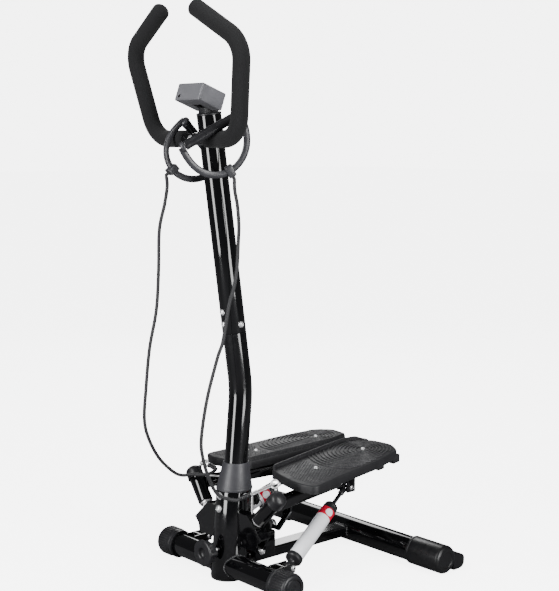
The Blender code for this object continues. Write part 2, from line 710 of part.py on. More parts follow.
def monitor():
    turn = monitor_turn()
    housing = bevel(box("monitor_housing", MONITOR_SIZE, MONITOR_CENTRE, turn), 0.006, 2)
    top = MONITOR_SIZE.z / 2
    window = box("window_cut", (0.050, 0.028, 0.008), monitor_point(0, -0.008, top), turn)
    hollow = box("housing_hollow", (0.072, 0.054, 0.026), monitor_point(0, 0, -0.001), turn)
    opening = box("housing_opening", (0.026, 0.030, 0.020), monitor_point(0, 0.010, -top), turn)
    jack = cone("jack_hole", monitor_point(JACK_X, -0.045, JACK_Z), monitor_point(JACK_X, -0.020, JACK_Z),
                0.0032, sides=16)
    button_way = cone("button_way", monitor_point(0, 0.018, 0), monitor_point(0, 0.018, top + 0.01),
                      0.0062, sides=24)
    finish(cut(housing, window, hollow, opening, jack, button_way), SILVER_PLASTIC)
    screen = box("monitor_screen", (0.0494, 0.0274, 0.0030), monitor_point(0, -0.008, top - 0.0021), turn)
    finish(screen, SCREEN)
    owner = joint_empty("button_joint", monitor_point(0, 0.018, top))
    button = turned("monitor_button", [(0.0, 0.0020), (0.0045, 0.0018), (0.0056, 0.0008),
                                       (0.0056, -0.0058), (0.0, -0.0058)],
                    monitor_point(0, 0.018, top), turn @ Vector((0, 0, 1)), 24)
    finish(button, GREY_PLASTIC, owner)
    neck()


def neck():
    top = post_axis(POST_TOP_Z)
    cap = cone("monitor_neck", top + POST_UP * GAP, top + POST_UP * 0.0040, POST_R + 0.0006, sides=ROUND)
    plug = cone("neck_plug", top - POST_UP * 0.018, top + POST_UP * 0.002,
                POST_R - POST_WALL - GAP, sides=ROUND)
    block = box("neck_block", (0.024, 0.034, 0.030), (0, top.y - 0.001, POST_TOP_Z + 0.014))
    clear = box("neck_clear", MONITOR_SIZE + Vector((0.001, 0.001, 0.001)), MONITOR_CENTRE, monitor_turn())
    cut(block, clear)
    finish(join(cap, plug, block), CAP_PLASTIC)


# ---------------------------------------------------------------- pivots, pedals and dampers

def along_pivot(distance, side):
    return mirrored(PIVOT + PIVOT_DIR * distance, side)


def pivot_bracket(name, side):
    """Pressed channel from the base tube out to the lower end of the sleeve."""
    flange_s = SLEEVE_LOW - 0.0105
    seat = PIVOT + PIVOT_DIR * flange_s
    across = Vector((PIVOT_DIR.z, 0, -PIVOT_DIR.x)).normalized()
    outer = seat + across * 0.040
    inner = seat - across * 0.022
    outline = [(BASE_R - 0.003, 0.078), (0.096, 0.078), (0.101, 0.098), (outer.x - 0.006, outer.z - 0.008),
               (outer.x, outer.z), (inner.x, inner.z), (BASE_R - 0.003, 0.150)]
    centre_y = seat.y
    turn = Matrix(((side, 0, 0, 0), (0, 0, -side, centre_y), (0, 1, 0, 0), (0, 0, 0, 1)))
    wing = plate(name, outline, 0.026, turn)
    sheet = 0.0035
    drop = PIVOT_DIR * 0.0045
    pocket_outline = [(0.0, 0.070), (0.0, 0.150 - 0.006), (inner.x - drop.x, inner.z - drop.z - 0.002),
                      (outer.x - drop.x, outer.z - drop.z), (outer.x - 0.012, outer.z - 0.040),
                      (0.110, 0.070)]
    pocket = plate(name + "_pocket", pocket_outline, 0.026 - 2 * sheet, turn)
    tube_face = leaning_cylinder(name + "_tube_face", 0.0, 0.25, BASE_R + GAP)
    pin_way = cone(name + "_pin_way", along_pivot(flange_s - 0.02, side), along_pivot(flange_s + 0.02, side),
                   PIN_R + GAP, sides=20)
    finish(cut(wing, pocket, tube_face, pin_way), BLACK_PAINT)


def pivot_pin(name, side):
    """Pivot bolt: hex under the sleeve, shank through the channel and the sleeve."""
    foot = SLEEVE_LOW - 0.0105
    shank = cone(name, along_pivot(foot - 0.008, side), along_pivot(SLEEVE_HIGH + 0.004, side),
                 PIN_R, sides=14)
    nut = cone(name + "_nut", along_pivot(foot + 0.0014, side), along_pivot(foot + 0.0065, side),
               0.0105, sides=6)
    washer = cone(name + "_washer", along_pivot(foot + 0.006, side), along_pivot(SLEEVE_LOW - 0.0010, side),
                  0.0140, sides=18)
    head = cone(name + "_head", along_pivot(SLEEVE_HIGH + 0.0005, side),
                along_pivot(SLEEVE_HIGH + 0.005, side), 0.0108, sides=14)
    finish(join(shank, nut, washer, head), ZINC)


def pedal_sleeve(name, side, owner):
    sleeve = cone(name, along_pivot(SLEEVE_LOW, side), along_pivot(SLEEVE_HIGH, side), SLEEVE_R, sides=ROUND)
    bore = cone(name + "_bore", along_pivot(SLEEVE_LOW - 0.01, side), along_pivot(SLEEVE_HIGH + 0.01, side),
                SLEEVE_BORE, sides=24)
    finish(cut(sleeve, bore), BLACK_PAINT, owner)


def cap_clock(side):
    """Direction of a sleeve cap's eye: square to the pivot line, turned rearwards by its clock angle."""
    clock = CLOCKS[side]
    axis = mirrored(PIVOT_DIR, side)
    inward = Vector((-side * PIVOT_DIR.z, 0, PIVOT_DIR.x))
    inward = (inward - axis * inward.dot(axis)).normalized()
    rearward = axis.cross(inward)
    if rearward.y < 0:
        rearward = -rearward
    return inward * math.cos(clock) + rearward * math.sin(clock)


def ring_points(centre, first, second, radius, count):
    """Points of a circle in the plane of two square directions."""
    points = []
    for k in range(count):
        angle = 2 * math.pi * k / count
        points.append(centre + first * (radius * math.cos(angle)) + second * (radius * math.sin(angle)))
    return points


def hook_frame(side):
    """Centre of a band's eye, the direction of its hook, and the direction square to the eye."""
    outward = cap_clock(side)
    eye = along_pivot(EYE_ALONG, side) + outward * EYE_OFFSET
    along = (eye - Vector(CRIMPS[side])).normalized()
    return eye, along, along.cross(outward).normalized()


def sleeve_cap(name, side, owner):
    length = SLEEVE_CAP_LENGTH
    inner = (SLEEVE_R + GAP) / math.cos(math.pi / CAP_SIDES)
    profile = [(0.0, length), (0.006, length - 0.0006), (0.0115, length - 0.0025), (0.0158, length - 0.0058),
               (SLEEVE_CAP_R, length - 0.0105), (SLEEVE_CAP_R, 0.0), (inner, 0.0),
               (inner, CAP_OVERLAP + GAP), (0.0118, CAP_OVERLAP + GAP),
               (0.0118, CAP_OVERLAP + 0.0065), (0.0, CAP_OVERLAP + 0.0065)]
    cap = turned(name, profile, along_pivot(CAP_FOOT, side), mirrored(PIVOT_DIR, side), CAP_SIDES)
    eye, along, normal = hook_frame(side)
    upward = normal.cross(along)
    ring = tube(name + "_ring", ring_points(eye, along, upward, EYE_RING_R, 20), EYE_WIRE_R, 2, True)
    root = along_pivot(SLEEVE_HIGH + 0.0040, side) + cap_clock(side) * 0.0150
    stem = cone(name + "_stem", root, eye + (root - eye).normalized() * (EYE_RING_R - 0.0008), 0.0026,
                sides=10)
    finish(join(cap, stem, ring), CAP_PLASTIC, owner)


def pedal_axes(side):
    """Across, rearward and up directions of a pedal, and their matrix at its front screw."""
    rearward = PEDAL_REARWARD
    level = Vector((rearward.y, -rearward.x, 0)).normalized()
    up = level.cross(rearward)
    across = level * math.cos(PEDAL_ROLL) - up * math.sin(PEDAL_ROLL)
    up = across.cross(rearward)
    frame = Matrix((across, rearward, up)).transposed().to_4x4()
    frame.translation = PEDAL_SCREW
    if side < 0:
        flip = Matrix.Diagonal((-1, 1, 1, 1))
        frame = flip @ frame @ flip
    return frame


def pedal_outline(side, inset=0.0):
    """Footplate outline, rounded by a corner radius at each point."""
    corners = [(-0.070, -0.070), (-0.020, -0.086), (0.030, -0.098), (0.074, -0.090), (0.071, -0.010),
               (0.075, 0.120), (0.066, 0.210), (0.030, 0.238), (-0.025, 0.234), (-0.058, 0.210),
               (-0.070, 0.170)]
    shrunk = []
    for x, y in corners:
        middle = Vector((0.0, 0.075))
        reach = Vector((x, y)) - middle
        shrunk.append((x - math.copysign(inset, reach.x), y - math.copysign(inset, reach.y)))
    count = len(shrunk)
    outline = []
    for i, corner in enumerate(shrunk):
        here = Vector(corner)
        before = Vector(shrunk[i - 1])
        after = Vector(shrunk[(i + 1) % count])
        radius = min(0.016, (before - here).length * 0.4, (after - here).length * 0.4)
        start = here + (before - here).normalized() * radius
        end = here + (after - here).normalized() * radius
        for k in range(3):
            t = k / 2
            point = start * (1 - t) ** 2 + here * (2 * t * (1 - t)) + end * t * t
            outline.append((point.x * side, point.y))
    return outline


def pedal(name, side, owner):
    """Footplate: tread, skirt round the edge and a raised wall along the inner side."""
    frame = pedal_axes(side)
    low = PEDAL_DEPTH

    def layer(label, inset, bottom, top):
        lift = Matrix.Translation((0, 0, (bottom + top) / 2))
        return plate(label, pedal_outline(side, inset), top - bottom, frame @ lift)

    body = layer(name, 0.0, -low, 0.0)
    pocket = layer(name + "_pocket", PEDAL_SKIN, -low - 0.01, -PEDAL_SKIN)
    rim = layer(name + "_rim", 0.0006, -0.002, PEDAL_RIM)
    rim_inner = layer(name + "_rim_inner", 0.0045, -0.004, PEDAL_RIM + 0.004)
    rim_keep = box(name + "_rim_keep", (0.30, 0.40, 0.05), (0, 0, 0))
    rim_keep.data.transform(frame @ Matrix.Translation((side * 0.115, 0.125, 0.008)))
    cut(rim, rim_inner, rim_keep)
    screws = []
    for spot in (0.0, PEDAL_SCREW_PITCH):
        boss = cone(f"{name}_boss_{len(screws)}", frame @ Vector((0, spot, -low + 0.0005)),
                    frame @ Vector((0, spot, -0.002)), 0.011, sides=20)
        screws.append(boss)
    cut(body, pocket)
    join(body, rim, *screws)
    finish(body, TREAD_PLASTIC, owner)


def pedal_arm(name, side, owner):
    start = mirrored(ARM_FRONT, side)
    end = mirrored(ARM_REAR, side)
    direction = (end - start).normalized()
    across = Vector((direction.y, -direction.x, 0)).normalized()
    up = across.cross(direction)
    turn = Matrix((across, direction, up)).transposed().to_4x4()
    length = (end - start).length
    half = ARM_HALF
    arm = bevel(box(name, (2 * half, length, 2 * half), (start + end) / 2, turn), 0.003)
    hollow = box(name + "_hollow", (2 * half - 0.004, length + 0.02, 2 * half - 0.004), (start + end) / 2,
                 turn)
    sleeve_face = cone(name + "_sleeve_face", along_pivot(-0.08, side), along_pivot(0.08, side),
                       SLEEVE_R + GAP, sides=ROUND)
    cap_face = cone(name + "_cap_face", along_pivot(CAP_FOOT - 0.0015, side), along_pivot(0.08, side),
                    SLEEVE_CAP_R + 0.0010)
    settle(cut(arm, hollow, sleeve_face))
    settle(cut(arm, cap_face))
    frame = pedal_axes(side)
    seat = -PEDAL_DEPTH - GAP
    carrier = box(name + "_carrier", (0.0465, 0.225, 0.004), (0, 0, 0))
    carrier.data.transform(frame @ Matrix.Translation((0, 0.083, seat - 0.002)))
    join(arm, carrier)
    for spot in (0.0, 0.085):
        foot = frame @ Vector((0, spot, seat - 0.003))
        base = foot - Vector((0, 0, 0.0220))
        join(arm, box(f"{name}_spacer_{spot}", (0.022, 0.020, 0.022), (foot + base) / 2, turn))
    pin = mirrored(DAMPER_HIGH, side)
    for offset in (-LUG_SPREAD, LUG_SPREAD):
        top = ARM_REAR.z + 0.002
        lug = box(f"{name}_lug_{offset}", (0.003, 0.024, top - DAMPER_HIGH.z + 0.010), (0, 0, 0))
        centre = pin + Vector((offset, 0, (top - DAMPER_HIGH.z - 0.010) / 2))
        lug.data.transform(Matrix.Translation(centre))
        join(arm, lug)
    bridge = box(name + "_bridge", (2 * LUG_SPREAD + 0.001, 0.030, 0.004),
                 pin + Vector((0, -0.004, ARM_REAR.z - DAMPER_HIGH.z + 0.002)))
    bolt = cone(name + "_bolt", pin - Vector((LUG_SPREAD + 0.005, 0, 0)),
                pin + Vector((LUG_SPREAD + 0.005, 0, 0)), DAMPER_PIN_R, sides=16)
    outline = [(side * x, z) for x, z in CABLE_LUG]
    upright = Matrix(((1, 0, 0, 0), (0, 0, -1, CABLE_END.y), (0, 1, 0, 0), (0, 0, 0, 1)))
    cable_lug = plate(name + "_cable_lug", outline, 0.006, upright)
    finish(join(arm, bridge, bolt, cable_lug), BLACK_PAINT, owner)


def damper_bracket(name, side):
    pivot = mirrored(DAMPER_LOW, side)
    length = pivot.y + 0.006
    bracket = None
    for offset in (-0.0140, 0.0140):
        centre = (pivot.x + offset, length / 2, pivot.z - 0.001)
        cheek = box(f"{name}_{offset}", (0.003, length, 0.018), centre)
        if bracket:
            join(bracket, cheek)
        else:
            bracket = cheek
            bracket.name = name
    web = box(name + "_web", (0.0310, 0.004, 0.018), (pivot.x, 0.0285, pivot.z - 0.001))
    pin = cone(name + "_pin", (pivot.x - 0.0195, pivot.y, pivot.z), (pivot.x + 0.0195, pivot.y, pivot.z),
               DAMPER_PIN_R, sides=16)
    bar_face = cone(name + "_bar_face", (pivot.x - 0.05, 0, FRONT_Z), (pivot.x + 0.05, 0, FRONT_Z),
                    FRONT_R + GAP, sides=ROUND)
    front_trim = box(name + "_trim", (0.06, 0.030, 0.08), (pivot.x, -0.006, pivot.z))
    join(bracket, web, pin)
    finish(cut(bracket, bar_face, front_trim), BLACK_PAINT)


def damper_axis(side):
    low, high = mirrored(DAMPER_LOW, side), mirrored(DAMPER_HIGH, side)
    return low, (high - low).normalized()


def damper_barrel(name, side, owner):
    low, axis = damper_axis(side)
    body_end = 0.190
    profile = [(0.0, body_end), (0.0130, body_end), (0.0150, body_end - 0.003), (0.0150, 0.178),
               (BARREL_R, 0.176), (BARREL_R, 0.028), (0.0185, 0.026), (0.0185, 0.020), (0.0120, 0.0180),
               (EYE_NECK_R, 0.0180)]
    neck_angle = math.asin(EYE_NECK_R / EYE_R)
    for k in range(7):
        angle = neck_angle + (math.pi - neck_angle) * k / 6
        profile.append((EYE_R * math.sin(angle) if k < 6 else 0.0, EYE_R * math.cos(angle)))
    barrel = turned(name, profile, low, axis, 20)
    hollow = cone(name + "_hollow", low + axis * 0.034, low + axis * 0.195, 0.0060, sides=20)
    way = cone(name + "_way", low - Vector((0.02, 0, 0)), low + Vector((0.02, 0, 0)), 0.0066, sides=16)
    finish(cut(barrel, hollow, way), WHITE_PAINT, owner)


def damper_rod(name, side, owner):
    low, axis = damper_axis(side)
    high = mirrored(DAMPER_HIGH, side)
    rod = cone(name, low + axis * 0.100, high - axis * 0.008, ROD_R, sides=20)
    eye = cone(name + "_eye", high - Vector((0.0065, 0, 0)), high + Vector((0.0065, 0, 0)), 0.0125, sides=18)
    way = cone(name + "_way", high - Vector((0.02, 0, 0)), high + Vector((0.02, 0, 0)), 0.0085, sides=16)
    finish(cut(join(rod, eye), way), CHROME, owner)


# ---------------------------------------------------------------- cable drive and knob

def adjuster(owner):
    """Knob with a recessed hub, a lobed skirt and the screw behind it."""
    face = Vector((0, KNOB_FACE_Y, KNOB_Z))
    profile = [(0.0, -0.006), (0.0085, -0.006), (0.0105, 0.0), (0.0270, 0.0), (0.0290, -0.002),
               (0.0290, -0.007), (0.0235, -0.010), (0.0225, -0.024), (0.0100, -0.026), (0.0100, -0.030),
               (0.0, -0.030)]
    knob = turned("adjuster_knob", profile, face, (0, -1, 0), 24)
    scallops = []
    for k in range(6):
        angle = 2 * math.pi * k / 6
        centre = face + Vector((0.0265 * math.cos(angle), 0.019, 0.0265 * math.sin(angle)))
        scallops.append(cone(f"scallop_{k}", centre - Vector((0, 0.008, 0)), centre + Vector((0, 0.010, 0)),
                             0.0062, sides=8))
    cut(knob, *scallops)
    screw = cone("knob_screw", face + Vector((0, 0.020, 0)), (0, KNOB_SCREW_END, KNOB_Z), KNOB_SCREW_R,
                 sides=20)
    finish(join(knob, screw), CAP_PLASTIC, owner)


def pulley_carriage(owner):
    low, high = 0.0555, PULLEY.z + 0.010
    block = box("pulley_carriage", (0.020, 0.008, high - low), (0, CARRIAGE_Y, (low + high) / 2))
    bevel(block, 0.002)
    axle = cone("pulley_axle", (0, CARRIAGE_Y, PULLEY.z), (0, PULLEY.y + 0.0070, PULLEY.z), 0.0035, sides=16)
    head = cone("axle_head", (0, PULLEY.y + 0.0050, PULLEY.z), (0, PULLEY.y + 0.0075, PULLEY.z), 0.0055,
                sides=16)
    way = cone("carriage_way", (0, 0.02, KNOB_Z), (0, 0.09, KNOB_Z), KNOB_SCREW_R + GAP, sides=20)
    finish(cut(join(block, axle, head), way), ZINC, owner)


def cable_pulley(owner):
    half = 0.0040
    profile = [(PULLEY_R + 0.003, half), (PULLEY_R + 0.003, half - 0.001), (PULLEY_R, 0.0006),
               (PULLEY_R, -0.0006), (PULLEY_R + 0.003, -half + 0.001), (PULLEY_R + 0.003, -half),
               (0.0040, -half), (0.0040, half), (PULLEY_R + 0.003, half)]
    wheel = turned("cable_pulley", profile, PULLEY, (0, 1, 0), 24)
    finish(wheel, CAP_PLASTIC, owner)


def equalizer_cable():
    """Wire that joins the two arms over the top of the pulley."""
    wrap = PULLEY_R + CABLE_R + GAP
    reach = CABLE_END - PULLEY
    distance = math.hypot(reach.x, reach.z)
    touch = math.atan2(reach.z, reach.x) + math.acos(wrap / distance)
    right = []
    for k in range(5):
        angle = math.pi / 2 + (touch - math.pi / 2) * k / 4
        right.append(PULLEY + Vector((wrap * math.cos(angle), 0, wrap * math.sin(angle))))
    end = CABLE_END.copy()
    right += [right[-1].lerp(end, 0.5), end]
    left = [mirrored(point, -1) for point in reversed(right[1:])]
    finish(tube("equalizer_cable", left + right, CABLE_R, 2), ZINC)


# ---------------------------------------------------------------- stretch bands

def handle_frame(side):
    """Middle of a D-handle's grip, its direction, and the way to the cord joint."""
    start, end, foot = (Vector(point) for point in HANDLES[side])
    middle = (start + end) / 2
    along = (end - start).normalized()
    drop = foot - middle
    return middle, along, drop


def band_handle(side_name, side):
    middle, along, drop = handle_frame(side)
    corners = []
    reach = HANDLE_HALF + 0.006
    for k in range(15):
        angle = math.pi * (k + 1) / 16
        corners.append(middle + along * (reach * math.cos(angle)) + drop * math.sin(angle) ** 0.8)
    start = middle + along * (HANDLE_HALF + 0.0035)
    end = middle - along * (HANDLE_HALF + 0.0035)
    loop = [start] + corners + [end]
    loop += [end.lerp(start, share) for share in (0.12, 0.5, 0.88)]
    strap = tube(f"band_strap_{side_name}", loop, HANDLE_WIRE_R, 2, True)
    foot = middle + drop
    down = drop.normalized()
    block = cone(f"{side_name}_joint", foot - down * 0.010, foot + down * 0.012, 0.0085, sides=20)
    finish(join(strap, block), STRAP_PLASTIC)
    owner = joint_empty(f"band_grip_{side_name}_joint", middle)
    half = HANDLE_HALF - 0.004
    grip = cone(f"band_grip_{side_name}", middle - along * half, middle + along * half,
                HANDLE_GRIP_R, sides=24)
    bore = cone(f"{side_name}_grip_bore", middle - along * (half + 0.01), middle + along * (half + 0.01),
                HANDLE_WIRE_R + 0.0010, sides=20)
    finish(cut(grip, bore), GRIP_PLASTIC, owner)


def band_cord(side_name, side):
    middle, _, drop = handle_frame(side)
    down = drop.normalized()
    foot = middle + drop + down * (0.012 + GAP)
    crimp, away = crimp_end(side)
    last = crimp - away * GAP
    straight = 0.007
    route = [foot + down * straight] + [Vector(point) for point in ROUTES[side]] + [last - away * straight]
    points = [foot] + smooth_route(route, 0.0172) + [last]
    cord = tube(f"band_cord_{side_name}", points, CORD_R, 2)
    finish(cord, RUBBER)


def crimp_end(side):
    """Outer end of a band's crimp, and the direction from it to the eye."""
    return Vector(CRIMPS[side]), hook_frame(side)[1]


def band_hook(side_name, side, owner):
    """Crimp on the end of the cord, and the hook from it through the eye."""
    crimp = Vector(CRIMPS[side])
    eye, along, normal = hook_frame(side)
    sleeve_end = crimp + along * CRIMP_LENGTH
    sleeve = cone(f"band_hook_{side_name}", crimp, sleeve_end, 0.0048, sides=16)
    loop = []
    for centre, first, sign in ((eye, -math.pi / 2, -1), (sleeve_end + along * 0.0015, math.pi / 2, 1)):
        for k in range(9):
            angle = first + math.pi * k / 8
            forward = HOOK_HALF_WIDTH * (math.cos(angle) + sign)
            loop.append(centre + along * forward + normal * (HOOK_HALF_WIDTH * math.sin(angle)))
    hook = tube(f"{side_name}_hook_loop", loop, HOOK_WIRE_R, 2, True)
    finish(join(sleeve, hook), ZINC, owner)


PARTS = None
CUTTERS = None


def main():
    global PARTS, CUTTERS
    clear_scene()
    PARTS = new_collection("stepper")
    CUTTERS = new_collection("cutters")

    front_stabilizer()
    base_tube()
    base_plug()
    post_collar()
    socket_bush()
    frame_rail()
    rear_stabilizer()
    stop_bracket()
    post_lower()
    post_upper()
    bolts()
    handlebar()
    monitor()

    adjuster(joint_empty("knob_joint", (0, KNOB_FACE_Y, KNOB_Z)))
    pulley_carriage(joint_empty("carriage_joint", (0, CARRIAGE_Y, KNOB_Z)))
    cable_pulley(joint_empty("pulley_joint", PULLEY))
    equalizer_cable()

    for side_name, side in (("left", -1), ("right", 1)):
        front_cap(f"front_cap_{side_name}", side)
        rear_cap(f"rear_cap_{side_name}", side)
        stop_buffer(f"stop_buffer_{side_name}", side)
        foam_grip(f"foam_grip_{side_name}", side)
        pivot_bracket(f"pivot_bracket_{side_name}", side)
        pivot_pin(f"pivot_pin_{side_name}", side)
        damper_bracket(f"damper_bracket_{side_name}", side)
        pivot = joint_empty(f"pedal_{side_name}_joint", mirrored(PIVOT, side))
        pedal_sleeve(f"pivot_sleeve_{side_name}", side, pivot)
        sleeve_cap(f"sleeve_cap_{side_name}", side, pivot)
        pedal_arm(f"pedal_arm_{side_name}", side, pivot)
        pedal(f"pedal_{side_name}", side, pivot)
        band_hook(side_name, side, pivot)
        swing = joint_empty(f"damper_{side_name}_joint", mirrored(DAMPER_LOW, side))
        damper_barrel(f"damper_barrel_{side_name}", side, swing)
        damper_rod(f"damper_rod_{side_name}", side, swing)
        band_handle(side_name, side)
        band_cord(side_name, side)


main()
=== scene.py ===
"""Looks of the twist stepper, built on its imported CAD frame. Metres, +Z up."""
import json
import math

import bmesh
import bpy
from mathutils import Matrix, Vector

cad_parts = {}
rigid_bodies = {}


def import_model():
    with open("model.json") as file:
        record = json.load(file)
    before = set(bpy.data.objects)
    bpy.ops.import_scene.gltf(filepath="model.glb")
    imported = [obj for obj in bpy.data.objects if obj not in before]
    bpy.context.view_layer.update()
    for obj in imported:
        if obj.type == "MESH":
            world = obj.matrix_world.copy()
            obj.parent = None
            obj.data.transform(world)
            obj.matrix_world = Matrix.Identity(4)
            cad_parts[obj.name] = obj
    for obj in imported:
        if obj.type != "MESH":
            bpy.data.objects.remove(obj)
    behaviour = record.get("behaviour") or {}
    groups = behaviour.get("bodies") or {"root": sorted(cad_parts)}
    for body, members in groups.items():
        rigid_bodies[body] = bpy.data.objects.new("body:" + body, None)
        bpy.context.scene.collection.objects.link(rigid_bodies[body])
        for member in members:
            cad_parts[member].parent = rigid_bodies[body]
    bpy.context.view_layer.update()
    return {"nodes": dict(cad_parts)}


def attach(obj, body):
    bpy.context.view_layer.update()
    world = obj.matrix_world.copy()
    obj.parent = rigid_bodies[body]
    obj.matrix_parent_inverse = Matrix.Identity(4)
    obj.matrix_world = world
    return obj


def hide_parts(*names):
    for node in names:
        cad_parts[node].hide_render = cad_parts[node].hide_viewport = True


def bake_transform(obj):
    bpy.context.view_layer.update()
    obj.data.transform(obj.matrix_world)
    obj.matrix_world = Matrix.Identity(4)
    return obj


for old in list(bpy.data.objects):
    bpy.data.objects.remove(old, do_unlink=True)

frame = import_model()

FRAME = "frame"
SIDES = (("left", -1), ("right", 1))
UNIT = {1: "pedal_right_unit", -1: "pedal_left_unit"}
TURN = 2 * math.pi
SMOOTH_ANGLE = 38.0

# Sizes and places in metres, most of them the CAD's own
GAP = 0.0003
TUBE_WALL = 0.0022
SEAT_LIFT = 0.0004
FRONT_Z, FRONT_R, FRONT_CAP_R, FRONT_CAP_IN, FRONT_CAP_OUT = 0.0305, 0.0255, 0.0310, 0.163, 0.215
REAR_Y, REAR_Z, REAR_R, REAR_CAP_R = 0.3695, 0.0310, 0.0275, 0.0315
REAR_CAP_IN, REAR_CAP_OUT = 0.205, 0.300
CAP_END = 0.006
BASE_R, BASE_FOOT, BASE_TOP, BASE_SHEAR, BASE_Y = 0.0380, 0.0034, 0.1927, 0.09, 0.003
POST_R, POST_FOOT, POST_LEAN, POST_BEND_Z, POST_BEND_R = 0.0250, 0.125, 0.145, 0.4077, 0.30
POST_SEAM_Z, POST_TOP_Z, COLLAR_TOP = 0.5325, 0.980, 0.252
RAIL_HALF_WIDTH, RAIL_LOW, RAIL_HIGH, RAIL_FRONT, RAIL_REAR = 0.0205, 0.022, 0.046, 0.0450, 0.3415
PIVOT = Vector((0.120, 0.018, 0.176))
PIVOT_DIR = Vector((0.677, 0.090, 0.730)).normalized()
SLEEVE_R, SLEEVE_LOW, SLEEVE_HIGH = 0.0163, -0.0440, 0.0330
SLEEVE_CAP_R, SLEEVE_CAP_LENGTH, CAP_OVERLAP = 0.0185, 0.0290, 0.0170
CAP_FOOT = SLEEVE_HIGH - CAP_OVERLAP
PEDAL_SCREW = Vector((0.100, 0.166, 0.232))
PEDAL_REARWARD = Vector((-0.132, 0.989, 0.066)).normalized()
PEDAL_ROLL = math.radians(2.5)
PEDAL_DEPTH, PEDAL_RIM, PEDAL_SCREW_PITCH = 0.019, 0.009, 0.167
DAMPER_LOW = Vector((0.1406, 0.0513, 0.0485))
DAMPER_HIGH = Vector((0.0800, 0.2770, 0.1670))
BARREL_R, ROD_R, EYE_R, EYE_NECK_R = 0.0165, 0.0045, 0.0100, 0.0060
BARREL_FOOT, BARREL_TOP, LABEL_AT, LABEL_R = 0.030, 0.1765, 0.1645, 0.0088
BAR_R, BAR_Y, BAR_Z, FOAM_R, FOAM_START = 0.0125, -0.0765, 0.931, 0.0173, 0.036
BAR_CORNERS = ((0.134, BAR_Y, BAR_Z), (0.177, -0.103, 1.109), (0.059, -0.118, 1.178))
BAR_BENDS = (0.055, 0.050)
MONITOR_CENTRE = Vector((0.0, -0.0650, 1.0135))
MONITOR_SIZE = Vector((0.080, 0.062, 0.036))
JACK_X, JACK_Z = -0.0260, -0.0095
MONITOR_TILT = math.radians(-20.0)
CORD_R, CORD_STRAIGHT, HOOK_HALF = 0.0037, 0.007, 0.0060
HANDLE_HALF, HANDLE_WIRE_R, HANDLE_BLOCK_HALF = 0.062, 0.0042, 0.012
BASE_SIDE_Z, POST_SIDE_Z = 0.1835, 0.5500
BASE_BOLTS = (("base_bolt_upper", 0.1830, 0.0085), ("base_bolt_lower", 0.1550, 0.0085))
POST_BOLTS = (("post_bolt_upper", 0.5790, 0.0070), ("post_bolt_lower", 0.5530, 0.0070))
STOP_BOLT, STOP_RIVET, BUFFER = (0.0386, 0.066, 0.052), (0.0342, 0.060, 0.0745), (0.0230, 0.0930, 0.1012)
KNOB_Z, KNOB_FACE_Y, KNOB_SCREW_R, KNOB_SCREW_END = 0.0665, -0.0680, 0.0040, 0.0700
LOBES, LOBE_R, LOBE_DEPTH, THREAD_PITCH = 6, 0.0215, 0.0026, 0.0035
PULLEY = Vector((0.0, 0.0755, 0.1600))
PULLEY_R, CABLE_R = 0.0120, 0.0010
CABLE_END = Vector((0.0700, 0.0755, 0.1180))
EYE_ALONG, EYE_OFFSET, EYE_RING_R, EYE_WIRE_R, CRIMP_LENGTH = 0.0460, 0.0290, 0.0085, 0.0020, 0.024
CLOCKS = {1: 0.0, -1: math.radians(60.0)}
CRIMPS = {1: (0.0850, -0.0330, 0.1980), -1: (-0.0900, 0.0380, 0.2160)}
HANDLES = {
    1: ((0.0450, -0.1450, 0.9140), (0.1066, -0.0514, 0.9797), (0.0750, -0.0490, 0.8690)),
    -1: ((-0.0500, -0.0690, 0.9680), (-0.0500, 0.0240, 0.8750), (-0.0500, -0.0980, 0.8700)),
}
ROUTES = {
    1: ((0.074, -0.037, 0.830), (0.070, -0.027, 0.800), (0.066, -0.020, 0.760), (0.062, -0.018, 0.730),
        (0.060, -0.020, 0.674), (0.059, -0.027, 0.636), (0.058, -0.040, 0.597), (0.057, -0.055, 0.526),
        (0.057, -0.069, 0.494), (0.056, -0.095, 0.414), (0.055, -0.110, 0.333), (0.055, -0.106, 0.290),
        (0.055, -0.091, 0.246), (0.057, -0.073, 0.212), (0.066, -0.055, 0.199)),
    -1: ((-0.058, -0.106, 0.836), (-0.070, -0.104, 0.800), (-0.084, -0.108, 0.746), (-0.094, -0.104, 0.663),
         (-0.102, -0.105, 0.579), (-0.110, -0.118, 0.497), (-0.115, -0.125, 0.411), (-0.118, -0.128, 0.346),
         (-0.122, -0.115, 0.301), (-0.130, -0.082, 0.250), (-0.136, -0.040, 0.211), (-0.132, -0.018, 0.200),
         (-0.118, -0.004, 0.203), (-0.100, 0.006, 0.204), (-0.085, 0.018, 0.207), (-0.080, 0.031, 0.213)),
}


# ---------------------------------------------------------------- camera

CAMERA_AT = Vector((1.9793, -1.5945, 0.9297))
CAMERA_AZIMUTH, CAMERA_PITCH, CAMERA_ROLL = 48.6405, 9.1421, 0.2295
IMAGE_WIDTH, FOCAL_PX, SHIFT_PX = 559.0, 1230.72, 42.5
SENSOR = 36.0

lens_data = bpy.data.cameras.new("camera")
lens_data.sensor_width = SENSOR
lens_data.sensor_fit = 'HORIZONTAL'
lens_data.lens = FOCAL_PX / IMAGE_WIDTH * SENSOR
lens_data.shift_y = SHIFT_PX / IMAGE_WIDTH
camera = bpy.data.objects.new("camera", lens_data)
bpy.context.scene.collection.objects.link(camera)
camera.location = CAMERA_AT
turn = (Matrix.Rotation(math.radians(CAMERA_AZIMUTH), 4, 'Z')
        @ Matrix.Rotation(math.radians(90.0 - CAMERA_PITCH), 4, 'X')
        @ Matrix.Rotation(math.radians(CAMERA_ROLL), 4, 'Z'))
camera.rotation_euler = turn.to_euler()
bpy.context.scene.camera = camera


# ---------------------------------------------------------------- materials

